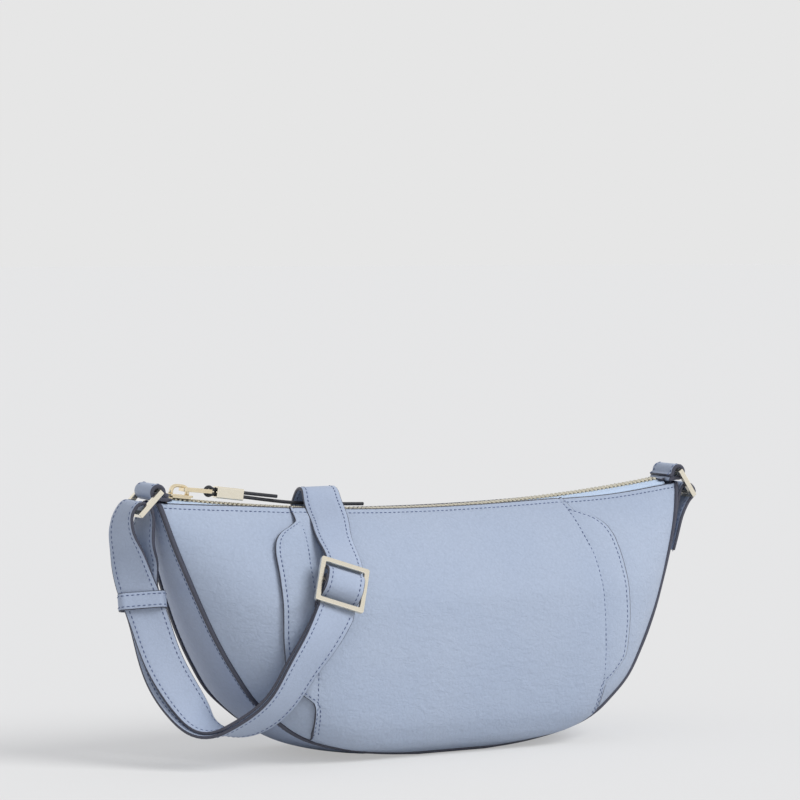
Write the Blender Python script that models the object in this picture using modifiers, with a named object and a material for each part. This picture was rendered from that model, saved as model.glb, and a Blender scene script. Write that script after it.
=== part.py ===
# Leather belt bag with a curved zip, ring-mounted shoulder strap and sliding buckle.
# Metres, +Z up, +X to the bag's right, +Y to its back. The base stands on z = 0.
import math

import bmesh
import bpy
from mathutils import Matrix, Vector

for thing in list(bpy.data.objects):
    bpy.data.objects.remove(thing, do_unlink=True)

# Body of the bag
bag_width = 0.310
seam_height = 0.1322
seam_lift = 0.0015
mouth_depth = 0.0163
base_depth = 0.0647
front_bulge = 0.0245
back_bulge = 0.012
mouth_sag = 0.008
gusset_bulge = 0.0042
clearance = 0.0003
layer_slack = 0.0008

# Leather, tape and lining
panel_thickness = 0.0012
centre_panel_raise = 0.001
gusset_thickness = 0.0015
stiffener_thickness = 0.001
lining_thickness = 0.0007
tape_thickness = 0.0006
bead_radius = 0.0013
wing_joint = 0.0009

# Zip
tooth_pitch = 0.00254
chain_thickness = 0.0026
chain_half_width = 0.003
bead_bar_width = 0.0016
chain_drop = 0.0006
chain_rise = 0.010
chain_end_gap = 0.009
tape_flat_half = 0.0063
tape_grip_half = 0.0017
patch_length = 0.0029
patch_thickness = 0.0015
patch_half_width = 0.0062

# Slider, puller and its leather lace, along and above the chain
slider_length = 0.0116
slider_front_width = 0.0086
slider_back_width = 0.0098
slider_plate = 0.001
slider_rail = 0.0009
slider_rail_drop = 0.0012
wedge_length = 0.0024
wedge_width = 0.0026
bridge_width = 0.0024
bridge_bar = 0.0013
bridge_rise = 0.0055
bridge_length = 0.0104
puller_length = 0.0162
puller_width = 0.0078
puller_bar = 0.0017
puller_thickness = 0.0015
puller_lift = 0.0004
lace_diameter = 0.0018
lace_loop_bend = 0.0012
lace_loop_start = math.radians(50)
lace_loop_turn = math.radians(260)
barrel_length = 0.015
barrel_size = 0.006
barrel_wall = 0.0008
barrel_start = 0.0036
upper_tail_length = 0.033
lower_tail_length = 0.084
upper_lift_shares = (0.9, 0.8)
upper_side_shares = (0.2, 0.6)
lower_lift_shares = (0.45, 0, 0, 0, 0)
lower_side_shares = (-0.2, -0.3, 0.1, 0.4, 0.2)

# Tabs and rings at the two ends
tab_width = 0.020
tab_thickness = 0.0022
tab_tongue_width = 0.010
tab_tongue_length = 0.0055
tab_inset = 0.0046
roll_bore_radius = 0.0021
roll_height = 0.0051
roll_overhang = 0.0006
roll_start = math.radians(105)
roll_turn = math.radians(285)
ring_bar_radius = 0.0012
ring_reach = 0.0144
ring_inner_width = 0.021
left_ring_angle = math.radians(45)
right_ring_angle = math.radians(57)

# Strap, keeper and buckle
strap_width = 0.020
strap_thickness = 0.0018
layer_gap = 0.0005
keeper_height = 0.0088
keeper_wall = 0.0014
keeper_slack = 0.0008
keeper_drop = 0.0062
buckle_width = 0.0264
buckle_height = 0.0242
buckle_bar = 0.0026
buckle_depth = 0.003
buckle_corner = 0.0012
buckle_pin_radius = 0.0014
buckle_slack = 0.0007
strap_over_bar = 0.0034
strap_over_front = 0.0012
crest_height = 0.0029
buckle_tilt = (0.93, -0.23, -0.29)
pin_wrap_start = math.radians(190)
pin_wrap_turn = math.radians(270)

half_width_total = bag_width / 2
mouth_half = mouth_depth / 2
base_half = base_depth / 2
corner_height = seam_lift + seam_height
chain_height = corner_height - mouth_sag - chain_drop
border = bead_radius + clearance
front_reach = base_half + front_bulge
back_reach = base_half + back_bulge
tape_drop = chain_thickness / 2 + clearance + tape_thickness / 2
layer_step = strap_thickness + layer_gap

# The seam outline seen from the front: height share against half-width share
rise_shares = (0, 0.008, 0.02, 0.045, 0.077, 0.108, 0.14, 0.239, 0.345, 0.414,
               0.506, 0.60, 0.711, 0.806, 0.856, 1)
reach_shares = (0.13, 0.234, 0.324, 0.44, 0.53, 0.583, 0.622, 0.717, 0.778, 0.812,
                0.851, 0.885, 0.923, 0.953, 0.967, 1)

# How far the two faces swell at each height, as a share of their bulge
swell_rise_shares = (0, 0.045, 0.077, 0.14, 0.208, 0.307, 0.414, 0.506, 0.60,
                     0.711, 0.806, 0.856, 0.894, 0.94, 0.97, 1)
swell_shares = (0, 0.36, 0.50, 0.69, 0.79, 0.885, 0.955, 0.985, 1,
                0.87, 0.66, 0.52, 0.40, 0.20, 0.10, 0)
gusset_rise_shares = (0, 0.1, 0.5, 0.8, 1)
gusset_swell_shares = (1, 1, 1, 0.6, 0.2)

# Heights and widths at which the inner layers bend
inner_rise_shares = (0.07, 0.108, 0.208, 0.345, 0.506, 0.60, 0.711, 0.806, 0.894, 0.94)
column_shares = (0.35, 0.6, 0.8, 0.93)
centre_column_shares = (0.3, 0.48, 0.6, 0.75)
mouth_rise_shares = (0.97,)
tape_rise_shares = (1, 0.985, 0.965, 0.945)
stiffener_top_share = 0.9
lining_top_share = 0.955

# Edge of the raised front panel: narrow at the foot and mouth, wide between its two shoulders
wing_rise_shares = (0.08, 0.14, 0.208, 0.239, 0.269, 0.307, 0.345, 0.414, 0.506,
                    0.60, 0.711, 0.806, 0.856, 0.894, 0.923, 0.94, 1)
wing_reach_shares = (0.532, 0.545, 0.552, 0.561, 0.594, 0.63, 0.652, 0.658, 0.664,
                     0.663, 0.66, 0.655, 0.642, 0.613, 0.561, 0.539, 0.53)

depth_power = 0.67
swell_power = 6
seam_segments = 36

bag_parts = bpy.data.collections.new("belt_bag")
helper_parts = bpy.data.collections.new("cutters")
bpy.context.scene.collection.children.link(bag_parts)
bpy.context.scene.collection.children.link(helper_parts)

blue_leather = ((0.34, 0.41, 0.54), 0.55, 0)
dark_edge = ((0.035, 0.035, 0.05), 0.4, 0)
board = ((0.45, 0.43, 0.40), 0.9, 0)
lining_cloth = ((0.30, 0.34, 0.44), 0.85, 0)
tape_cloth = ((0.48, 0.64, 0.83), 0.9, 0)
chain_metal = ((0.72, 0.69, 0.58), 0.35, 1)
pale_gold = ((0.86, 0.74, 0.58), 0.25, 1)
satin_metal = ((0.83, 0.80, 0.74), 0.3, 1)
lace_leather = ((0.03, 0.03, 0.04), 0.5, 0)


# Small tools
def read_table(at, places, values):
    for k in range(1, len(places)):
        if at <= places[k]:
            part = (at - places[k - 1]) / (places[k] - places[k - 1])
            return values[k - 1] + (values[k] - values[k - 1]) * max(0, part)
    return values[-1]


def give_material(thing, look):
    colour, roughness, metallic = look
    material = bpy.data.materials.new(thing.name)
    material.use_nodes = True
    shader = material.node_tree.nodes["Principled BSDF"]
    shader.inputs["Base Color"].default_value = (*colour, 1)
    shader.inputs["Roughness"].default_value = roughness
    shader.inputs["Metallic"].default_value = metallic
    thing.data.materials.append(material)


def add_mesh(name, points, faces, look, collection=bag_parts):
    mesh = bpy.data.meshes.new(name)
    mesh.from_pydata(points, [], faces)
    thing = bpy.data.objects.new(name, mesh)
    collection.objects.link(thing)
    if look:
        give_material(thing, look)
    return thing


def add_grid(name, rows, look, closed=False):
    count = len(rows[0])
    points = [point for row in rows for point in row]
    faces = []
    for j in range(len(rows) - 1):
        for i in range(count if closed else count - 1):
            k = (i + 1) % count
            faces.append((j * count + i, j * count + k, (j + 1) * count + k, (j + 1) * count + i))
    return add_mesh(name, points, faces, look)


def thicken(thing, thickness, offset):
    shell = thing.modifiers.new("thickness", "SOLIDIFY")
    shell.thickness = thickness
    shell.offset = offset
    thing.data.shade_smooth()
    return thing


def smooth_route(stations, spacing):
    # A Catmull-Rom curve through the stations, read at about even spacing
    ends = [2 * stations[0] - stations[1]] + stations + [2 * stations[-1] - stations[-2]]
    route = []
    for a, b, c, d in zip(ends, ends[1:], ends[2:], ends[3:]):
        steps = max(1, round((c - b).length / spacing))
        for k in range(steps):
            t = k / steps
            route.append((2 * b + (c - a) * t + (2 * a - 5 * b + 4 * c - d) * t * t
                          + (3 * b - a - 3 * c + d) * t ** 3) / 2)
    route.append(stations[-1].copy())
    return route


def spread(values, stations, route):
    # One value for each route point, blended between the nearest stations before and after it
    marks = []
    start = 0
    for station in stations:
        start = min(range(start, len(route)), key=lambda k: (route[k] - station).length)
        marks.append(start)
    out = []
    for k in range(len(route)):
        after = next((m for m in range(1, len(marks)) if k <= marks[m]), len(marks) - 1)
        span = max(1, marks[after] - marks[after - 1])
        part = (k - marks[after - 1]) / span
        out.append(values[after - 1] * (1 - part) + values[after] * part)
    return out


def tangents(route):
    last = len(route) - 1
    return [(route[min(k + 1, last)] - route[max(k - 1, 0)]).normalized() for k in range(last + 1)]


def add_ribbon(name, route, sides, width, thickness, look):
    # A flat strap swept along a route; sides holds the direction of its width at each point
    points = []
    widths = width if isinstance(width, list) else [width] * len(route)
    for point, along, side, wide in zip(route, tangents(route), sides, widths):
        across = side.normalized()
        face = along.cross(across).normalized()
        for a, b in ((-1, -1), (0, -1), (1, -1), (1, 1), (0, 1), (-1, 1)):
            points.append(point + across * (a * wide / 2) + face * (b * thickness / 2))
    count = 6
    faces = [tuple(range(count))[::-1]]
    for k in range(len(route) - 1):
        # Layers that lie on each other split their facets alike, whichever way they run
        forward = route[k + 1].x > route[k].x
        for i in range(count):
            j = (i + 1) % count
            a, b = count * k + i, count * k + j
            c, d = count * (k + 1) + j, count * (k + 1) + i
            from_middle = i % 3 == 1
            faces += [(a, b, c), (a, c, d)] if from_middle == forward else [(a, b, d), (b, c, d)]
    faces.append(tuple(count * (len(route) - 1) + i for i in range(count)))
    return add_mesh(name, points, faces, look)


def square_to(route, sides):
    # Turns each width direction square to the route
    return [(side - along * side.dot(along)).normalized() for along, side in zip(tangents(route), sides)]


def add_tube(name, route, radius, look, closed=False, resolution=2):
    curve = bpy.data.curves.new(name, "CURVE")
    curve.dimensions = "3D"
    curve.bevel_depth = radius
    curve.bevel_resolution = resolution
    curve.use_fill_caps = True
    line = curve.splines.new("POLY")
    line.points.add(len(route) - 1)
    line.use_cyclic_u = closed
    for k, point in enumerate(route):
        line.points[k].co = (*point, 1)
    thing = bpy.data.objects.new(name, curve)
    bag_parts.objects.link(thing)
    give_material(thing, look)
    return thing


def add_plate(name, outlines, thickness, look, collection=bag_parts):
    # Flat closed outlines in the local XY plane; the inner ones are holes
    curve = bpy.data.curves.new(name, "CURVE")
    curve.dimensions = "2D"
    curve.fill_mode = "BOTH"
    curve.extrude = thickness / 2
    for outline in outlines:
        line = curve.splines.new("POLY")
        line.points.add(len(outline) - 1)
        line.use_cyclic_u = True
        for k, (x, y) in enumerate(outline):
            line.points[k].co = (x, y, 0, 1)
    guide = bpy.data.objects.new(name, curve)
    collection.objects.link(guide)
    bpy.context.view_layer.update()
    mesh = bpy.data.meshes.new_from_object(guide.evaluated_get(bpy.context.evaluated_depsgraph_get()))
    bpy.data.objects.remove(guide, do_unlink=True)
    work = bmesh.new()
    work.from_mesh(mesh)
    bmesh.ops.remove_doubles(work, verts=work.verts, dist=0.00001)
    bmesh.ops.recalc_face_normals(work, faces=work.faces)
    work.to_mesh(mesh)
    work.free()
    mesh.materials.clear()
    thing = bpy.data.objects.new(name, mesh)
    collection.objects.link(thing)
    if look:
        give_material(thing, look)
    return thing


def rounded_box(width, height, corner, steps=3):
    points = []
    for k, (a, b) in enumerate(((1, 1), (-1, 1), (-1, -1), (1, -1))):
        for i in range(steps + 1):
            turn = math.pi / 2 * (k + i / steps)
            points.append((a * (width / 2 - corner) + corner * math.cos(turn),
                           b * (height / 2 - corner) + corner * math.sin(turn)))
    return points


def add_block(name, size, place, collection=helper_parts, look=None):
    mesh = bpy.data.meshes.new(name)
    work = bmesh.new()
    bmesh.ops.create_cube(work, size=1, matrix=Matrix.Translation(place) @ Matrix.Diagonal((*size, 1)))
    work.to_mesh(mesh)
    work.free()
    thing = bpy.data.objects.new(name, mesh)
    collection.objects.link(thing)
    if look:
        give_material(thing, look)
    return thing


def hide_helper(helper):
    helper.hide_render = True
    helper.display_type = "WIRE"


def combine(thing, helper, operation):
    cut = thing.modifiers.new(operation.lower(), "BOOLEAN")
    cut.operation = operation
    cut.object = helper
    hide_helper(helper)


# Shape of the bag
def level(rise):
    return seam_lift + seam_height * rise


def half_width(rise):
    return half_width_total * read_table(max(rise, 0), rise_shares, reach_shares)


def half_depth(rise):
    return mouth_half + (base_half - mouth_half) * (1 - min(rise, 1)) ** depth_power


def wing_reach(rise):
    return half_width_total * read_table(rise, wing_rise_shares, wing_reach_shares)


def skin(side, x, rise):
    # side is -1 for the front face and 1 for the back face
    across = min(1, abs(x) / half_width(rise))
    bulge = front_bulge if side < 0 else back_bulge
    swell = bulge * (1 - across ** swell_power) * read_table(rise, swell_rise_shares, swell_shares)
    height = level(rise) - mouth_sag * (1 - across ** 2) * rise ** 3
    return Vector((x, side * (half_depth(rise) + swell), height))


def skin_normal(side, x, rise):
    step_share = 0.012
    reach = half_width(rise) * step_share
    across = skin(side, x + reach, rise) - skin(side, x - reach, rise)
    up = skin(side, x, min(1, rise + step_share)) - skin(side, x, max(0, rise - step_share))
    return across.cross(up).normalized() * -side


def on_skin(side, x, rise, out=0):
    return skin(side, x, rise) + skin_normal(side, x, rise) * out


def under_skin(side, x, rise, inset):
    # A point behind the skin, moved straight in from the face and never far along a flat foot
    flattest_share = 0.45
    point = skin(side, x, rise)
    point.y -= side * inset / max(abs(skin_normal(side, x, rise).y), flattest_share)
    return point


def inner_reach(rise, inset):
    # Half the width left inside the outline when it is drawn in by an inset on all sides
    return half_width(rise - inset / seam_height) - inset


def inset_rises(places, inset, top=1):
    base = inset / seam_height
    return [base] + [place for place in sorted(set(places)) if base < place < top] + [top]


def columns_at(rise, inner, outer, shares):
    # Columns at fixed shares of the width, drawn together where the edges come close
    spread_share = 0.2
    step = (outer - inner) / (2 * len(shares) + 4)
    wide = []
    for k, share in enumerate(shares):
        limit = outer * (share + spread_share * (1 - share))
        wide.append(max(min(share * half_width(rise), limit), inner + step * (k + 1)))
    return [inner] + wide + [outer]


def mirrored(columns):
    return [-x for x in reversed(columns[1:])] + columns


# Front and back faces
def face_rows(side, places, inset, place, top=1):
    rows = []
    for rise in inset_rises(places, inset, top):
        columns = mirrored(columns_at(rise, 0, inner_reach(rise, inset), column_shares))
        row = [place(side, x, rise) for x in columns]
        rows.append(row if side < 0 else row[::-1])
    return rows


def add_centre_panel():
    rows = []
    for rise in inset_rises(wing_rise_shares + rise_shares + mouth_rise_shares, border):
        reach = inner_reach(rise, border)
        if rise > wing_rise_shares[0]:
            reach = min(reach, wing_reach(rise) - wing_joint / 2)
        columns = mirrored(columns_at(rise, 0, reach, centre_column_shares))
        rows.append([on_skin(-1, x, rise, centre_panel_raise) for x in columns])
    panel = add_grid("front_centre_panel", rows, blue_leather)
    thicken(panel, panel_thickness + centre_panel_raise, -1)


def add_side_panel(name, side):
    rows = []
    foot = wing_rise_shares[1] * seam_height
    for rise in inset_rises(wing_rise_shares + mouth_rise_shares, foot):
        inner = wing_reach(rise) + wing_joint / 2
        columns = columns_at(rise, inner, inner_reach(rise, border), column_shares[2:])
        row = [on_skin(-1, side * x, rise) for x in columns]
        rows.append(row if side > 0 else row[::-1])
    thicken(add_grid(name, rows, blue_leather), panel_thickness, -1)


def add_back_panel():
    rows = face_rows(1, rise_shares[3:] + swell_rise_shares, border, skin)
    thicken(add_grid("back_panel", rows, blue_leather), panel_thickness, -1)


def add_stiffener(name, side):
    inset = border + gusset_thickness + layer_slack
    depth = panel_thickness + layer_slack
    rows = face_rows(side, inner_rise_shares, inset, lambda *at: under_skin(*at, depth),
                     stiffener_top_share)
    thicken(add_grid(name, rows, board), stiffener_thickness, -1)


def seam_route():
    left = [Vector((-half_width(rise), 0, level(rise))) for rise in reversed(rise_shares)]
    right = [Vector((-point.x, 0, point.z)) for point in reversed(left)]
    return smooth_route(left + right, bag_width / seam_segments)


def add_seam_bead(name, side):
    route = []
    for point in seam_route():
        rise = max(0, min(1, (point.z - seam_lift) / seam_height))
        route.append(Vector((point.x, side * half_depth(rise), point.z)))
    add_tube(name, route, bead_radius, dark_edge, resolution=1)


def add_gusset():
    route = seam_route()
    rows = []
    strips = 6
    for point, along in zip(route, tangents(route)):
        rise = max(0, min(1, (point.z - seam_lift) / seam_height))
        outward = Vector((along.z, 0, -along.x))
        bulge = gusset_bulge * read_table(rise, gusset_rise_shares, gusset_swell_shares)
        row = []
        for k in range(strips + 1):
            across = 2 * k / strips - 1
            place = point + outward * (bulge * (1 - across ** 2))
            place.y = across * (half_depth(rise) - border)
            place.z = max(0, place.z)
            row.append(place)
        rows.append(row)
    thicken(add_grid("gusset", rows, blue_leather), gusset_thickness, -1)


def add_lining():
    inset = border + gusset_thickness + 2 * layer_slack
    skin_inset = panel_thickness + stiffener_thickness + 2 * layer_slack + 2 * clearance
    rows = []
    for rise in inset_rises(inner_rise_shares, inset, lining_top_share):
        columns = mirrored(columns_at(rise, 0, inner_reach(rise, inset), column_shares))
        front = [under_skin(-1, x, rise, skin_inset) for x in columns]
        back = [under_skin(1, x, rise, skin_inset) for x in reversed(columns)]
        rows.append(front + back)
    lining = add_grid("lining", rows, lining_cloth, closed=True)
    work = bmesh.new()
    work.from_mesh(lining.data)
    count = len(rows[0])
    work.verts.ensure_lookup_table()
    for k in range(count // 2 - 1):
        corners = (k + 1, k, count - 1 - k, count - 2 - k)
        work.faces.new([work.verts[i] for i in corners])
    bmesh.ops.recalc_face_normals(work, faces=work.faces)
    work.to_mesh(lining.data)
    work.free()
    thicken(lining, lining_thickness, -1)


# Zip
chain_end = half_width_total - chain_end_gap
arc_radius = (chain_end ** 2 + chain_rise ** 2) / (2 * chain_rise)
arc_centre = chain_height + arc_radius


def chain_point(x, above=0):
    # The point over the chain's middle line at x, measured square to the chain's arc
    turn = math.asin(x / arc_radius)
    reach = arc_radius - above
    return Vector((reach * math.sin(turn), 0, arc_centre - reach * math.cos(turn)))


slider_x = slider_length / 2 - chain_end
wedge_x = slider_x - slider_length / 2 + wedge_length / 2
teeth_start = wedge_x + wedge_length / 2 + clearance


def add_tape(name, side):
    columns = 24
    reach = chain_end + patch_length
    rows = []
    for k in range(columns + 1):
        x = reach * (2 * k / columns - 1)
        flat = chain_point(x, -tape_drop)
        under = panel_thickness + layer_slack + tape_thickness / 2
        row = [flat + Vector((0, side * tape_grip_half, 0)), flat + Vector((0, side * tape_flat_half, 0))]
        for rise in tape_rise_shares:
            point = on_skin(side, x, rise, -under)
            point.x = flat.x
            point.z = min(point.z, flat.z)
            row.append(point)
        rows.append(row if side < 0 else row[::-1])
    thicken(add_grid(name, rows, tape_cloth), tape_thickness, 0)


def add_teeth(name, side, start):
    # A bar that follows the arc, with every second segment of its inner face drawn out as a tooth
    tooth = tooth_pitch / 2 - clearance
    count = int((chain_end - start - clearance) / tooth_pitch)
    inner = chain_half_width - bead_bar_width
    stations = []
    for k in range(count):
        stations += [start + k * tooth_pitch, start + k * tooth_pitch + tooth]
    rows = []
    for x in stations:
        low = chain_point(x, -chain_thickness / 2)
        high = chain_point(x, chain_thickness / 2)
        rows.append([Vector((low.x, side * inner, low.z)), Vector((high.x, side * inner, high.z)),
                     Vector((high.x, side * chain_half_width, high.z)),
                     Vector((low.x, side * chain_half_width, low.z))])
    comb = add_grid(name, rows, chain_metal, closed=True)
    work = bmesh.new()
    work.from_mesh(comb.data)
    work.verts.ensure_lookup_table()
    last = 4 * (len(rows) - 1)
    work.faces.new([work.verts[k] for k in (0, 1, 2, 3)])
    work.faces.new([work.verts[last + k] for k in (3, 2, 1, 0)])
    work.faces.ensure_lookup_table()
    toothed = [work.faces[4 * segment] for segment in range(0, len(rows) - 1, 2)]
    made = bmesh.ops.extrude_discrete_faces(work, faces=toothed)
    for face in made["faces"]:
        bmesh.ops.translate(work, verts=face.verts, vec=(0, -side * (2 * inner - clearance), 0))
    bmesh.ops.recalc_face_normals(work, faces=work.faces)
    work.to_mesh(comb.data)
    work.free()


def add_end_patch(name, side):
    rows = []
    steps = 3
    for k in range(steps + 1):
        x = side * (chain_end + clearance + (patch_length - 2 * clearance) * k / steps)
        base = chain_point(x, patch_thickness - chain_thickness / 2)
        rows.append([base + Vector((0, patch_half_width * across, 0)) for across in (-1, 0, 1)])
    patch = add_grid(name, rows if side < 0 else rows[::-1], blue_leather)
    thicken(patch, patch_thickness, -1)


# The slider's own frame: x along the chain, z square to it
slider_turn = math.asin(slider_x / arc_radius)
slider_frame = Matrix.Translation(chain_point(slider_x)) @ Matrix.Rotation(-slider_turn, 4, "Y")
top_plate = chain_thickness / 2 + clearance + slider_plate / 2
low_plate = -chain_thickness / 2 - tape_thickness - 3 * clearance - slider_plate / 2
plate_top = top_plate + slider_plate / 2
bridge_corner = bridge_rise / 3
puller_eye = math.hypot(puller_bar, puller_thickness) / 2 + clearance
hinge_x = bridge_length / 2 - bridge_bar - puller_eye - bridge_corner / 4
hinge_z = plate_top + bridge_rise - bridge_bar - puller_eye
pull_turn = -math.atan2(puller_lift, puller_length)
pull_frame = (slider_frame @ Matrix.Translation((hinge_x, 0, hinge_z))
              @ Matrix.Rotation(pull_turn, 4, "Y"))
lace_x = puller_length - puller_bar
lace_frame = pull_frame @ Matrix.Translation((lace_x, 0, 0)) @ Matrix.Rotation(-pull_turn, 4, "Y")


def add_slider():
    half = slider_length / 2
    outline = [(-half, -slider_back_width / 2), (half, -slider_front_width / 2),
               (half, slider_front_width / 2), (-half, slider_back_width / 2)]
    slider = add_plate("zip_slider", [outline], slider_plate, satin_metal)
    slider.matrix_world = slider_frame @ Matrix.Translation((0, 0, top_plate))
    bottom = add_plate("slider_bottom", [outline], slider_plate, None, helper_parts)
    bottom.matrix_world = slider_frame @ Matrix.Translation((0, 0, low_plate))
    span = top_plate - low_plate
    wedge_place = (wedge_x - slider_x, 0, (top_plate + low_plate) / 2)
    wedge = add_block("slider_wedge", (wedge_length, wedge_width, span), Vector(wedge_place))
    helpers = [bottom, wedge]
    for side in (-1, 1):
        inner = chain_half_width + clearance
        drop = slider_rail_drop + slider_plate / 2
        place = Vector((clearance, side * (inner + slider_rail / 2), top_plate - drop / 2))
        rail = add_block("slider_rail", (slider_length - 4 * clearance, slider_rail, drop), place)
        helpers.append(rail)
    outer = arch_outline(bridge_length, bridge_rise + slider_plate / 2)
    inner = arch_outline(bridge_length - 2 * bridge_bar, bridge_rise - bridge_bar + slider_plate / 2)
    bridge = add_plate("slider_bridge", [outer + inner[::-1]], bridge_width, None, helper_parts)
    bridge.matrix_world = (slider_frame @ Matrix.Translation((0, 0, top_plate))
                           @ Matrix.Rotation(math.pi / 2, 4, "X"))
    for helper in helpers[1:]:
        helper.matrix_world = slider_frame
    for helper in helpers + [bridge]:
        combine(slider, helper, "UNION")


def arch_outline(length, rise):
    # A flat-topped arch standing on the plate, with quarter-round shoulders
    steps = 4
    corner = bridge_corner
    points = [(length / 2, 0)]
    for k in range(2 * steps + 1):
        turn = math.pi / 2 * min(k, steps) / steps if k <= steps else math.pi / 2 * (k - 1) / steps
        centre = length / 2 - corner if k <= steps else corner - length / 2
        points.append((centre + corner * math.cos(turn), rise - corner + corner * math.sin(turn)))
    points.append((-length / 2, 0))
    return points


def add_puller():
    outer = rounded_box(puller_length, puller_width, puller_bar / 2)
    inner = rounded_box(puller_length - 2 * puller_bar, puller_width - 2 * puller_bar, puller_bar / 3)
    puller = add_plate("zip_puller", [outer, inner], puller_thickness, satin_metal)
    puller.matrix_world = pull_frame @ Matrix.Translation((puller_length / 2 - puller_bar / 2, 0, 0))
    centre_origin(puller, pull_frame)


def centre_origin(thing, frame):
    # Moves an object's origin to a joint without moving its shape
    place = frame.copy()
    thing.data.transform(place.inverted() @ thing.matrix_world)
    thing.matrix_world = place


def add_lace_loop():
    bend = lace_loop_bend + lace_diameter / 2
    strand = lace_diameter / 2 + clearance / 2
    entry = barrel_start + barrel_wall
    steps = 8
    route = [Vector((entry, 0, strand)), Vector((barrel_start - clearance, 0, strand))]
    for k in range(steps + 1):
        turn = lace_loop_start + lace_loop_turn * k / steps
        route.append(Vector((bend * math.cos(turn), 0, bend * math.sin(turn))))
    route += [Vector((barrel_start - clearance, 0, -strand)), Vector((entry, 0, -strand))]
    loop = add_tube("pull_lace_loop", route, lace_diameter / 2, lace_leather)
    loop.matrix_world = lace_frame


def add_barrel():
    size = (barrel_length, barrel_size, barrel_size)
    place = Vector((barrel_start + barrel_length / 2, 0, 0))
    barrel = add_block("pull_barrel", size, place, bag_parts, satin_metal)
    barrel.matrix_world = lace_frame
    slot_height = barrel_size - 2 * barrel_wall
    slot = (2 * barrel_length, lace_diameter + 2 * clearance, slot_height)
    cutter = add_block("barrel_slot", slot, place)
    cutter.matrix_world = lace_frame
    combine(barrel, cutter, "DIFFERENCE")


def add_tail(name, strand, length, lift_shares, side_shares):
    # Each tail leaves the barrel's slot and settles beside the chain
    start = barrel_start + barrel_wall + clearance
    offset = strand * (lace_diameter / 2 + clearance / 2)
    straight = barrel_start + barrel_length + lace_diameter
    inside = [lace_frame @ Vector((start, 0, offset)), lace_frame @ Vector((straight, 0, offset))]
    stations = list(inside)
    first = inside[1]
    rest = chain_thickness / 2 + clearance + lace_diameter / 2
    over = first.z - chain_point(first.x, rest).z
    left = length - (inside[1] - inside[0]).length
    for k, (lift, side) in enumerate(zip(lift_shares, side_shares)):
        x = first.x + left * (k + 1) / len(lift_shares)
        point = chain_point(x, rest)
        stations.append(Vector((point.x, -chain_half_width * side, point.z + over * lift)))
    route = smooth_route(stations, 2 * lace_diameter)
    add_tube(name, route, lace_diameter / 2, lace_leather)


# Tabs and rings
roll_radius = roll_bore_radius + tab_thickness / 2
roll_x = half_width_total + roll_overhang
roll_z = corner_height + roll_height


def add_tab(name, side):
    # Tongue inside the bag's end, one turn round the ring bar, and a leg down to the zip's end patch
    tongue = -roll_overhang - tab_inset
    top = -roll_height + clearance + tab_thickness / 2
    route = [Vector((tongue, 0, -roll_height - tab_tongue_length)),
             Vector((tongue, 0, -roll_height - tab_tongue_length / 3)),
             Vector((tongue, 0, top - 2 * clearance))]
    widths = [tab_tongue_width, tab_tongue_width, tab_tongue_width]
    steps = 12
    for k in range(steps + 1):
        turn = roll_turn * k / steps - roll_start
        route.append(Vector((roll_radius * math.cos(turn), 0, roll_radius * math.sin(turn))))
        widths.append(tab_width)
    foot = chain_point(chain_end + clearance, patch_thickness - chain_thickness / 2 + clearance).z
    leg = foot - roll_z + tab_thickness / 2
    route.append(Vector((-roll_radius - tab_thickness / 4, 0, leg / 2)))
    route.append(Vector((-roll_radius - tab_thickness, 0, leg)))
    widths += [tab_width, tab_width]
    place = [Vector((side * (roll_x + point.x), 0, roll_z + point.z)) for point in route]
    sides = [Vector((0, side, 0))] * len(route)
    add_ribbon(name, place, sides, widths, tab_thickness, blue_leather)


def add_ring(name, side, angle):
    # A rectangular link: top bar in the tab's roll, lower bar in the strap's loop
    wide = ring_inner_width / 2 + ring_bar_radius
    corner = ring_bar_radius
    route = []
    for across, down in ((1, 0), (1, 1), (-1, 1), (-1, 0)):
        away = 1 if down else -1
        first = Vector((0, across * wide, down * ring_reach - away * corner))
        second = Vector((0, across * (wide - corner), down * ring_reach))
        route += [first, second] if across == (1 if down else -1) else [second, first]
    ring = add_tube(name, route, ring_bar_radius, pale_gold, closed=True, resolution=2)
    direction = Vector((side * math.cos(angle), 0, -math.sin(angle)))
    turn = Vector((0, 0, 1)).rotation_difference(direction).to_matrix().to_4x4()
    ring.matrix_world = Matrix.Translation((side * roll_x, 0, roll_z)) @ turn


# Strap: shares of half the width, of the front or back reach, and of the corner height,
# each with the direction of the strap's width
leg_shares = (
    (-1.052, -0.010, 0.671, 0.80, -0.44, 0.41),
    (-1.035, -0.046, 0.615, 0.81, -0.45, 0.37),
    (-1.022, -0.077, 0.559, 0.83, -0.46, 0.30),
    (-1.004, -0.121, 0.468, 0.86, -0.42, 0.29),
    (-0.982, -0.174, 0.381, 0.85, -0.31, 0.42),
    (-0.945, -0.250, 0.289, 0.80, -0.25, 0.54),
    (-0.912, -0.325, 0.219, 0.74, 0.02, 0.67),
    (-0.895, -0.365, 0.178, 0.64, 0.42, 0.58),
    (-0.872, -0.410, 0.150, 0.52, 0.79, 0.30),
    (-0.832, -0.475, 0.137, 0.53, 0.84, -0.09),
    (-0.768, -0.582, 0.159, 0.72, 0.47, -0.50),
    (-0.706, -0.692, 0.208, 0.78, 0.14, -0.61),
    (-0.655, -0.775, 0.285, 0.84, -0.10, -0.53),
    (-0.622, -0.851, 0.376, 0.87, -0.28, -0.41),
    (-0.562, -0.935, 0.490, 0.89, -0.28, -0.37),
)
right_end_shares = (
    (0.980, -0.02, 0.722, 0, 1, 0),
    (0.988, -0.02, 0.750, 0, 1, 0),
    (1.003, -0.02, 0.810, 0, 1, 0),
    (1.015, -0.02, 0.862, 0, 1, 0),
)
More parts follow.
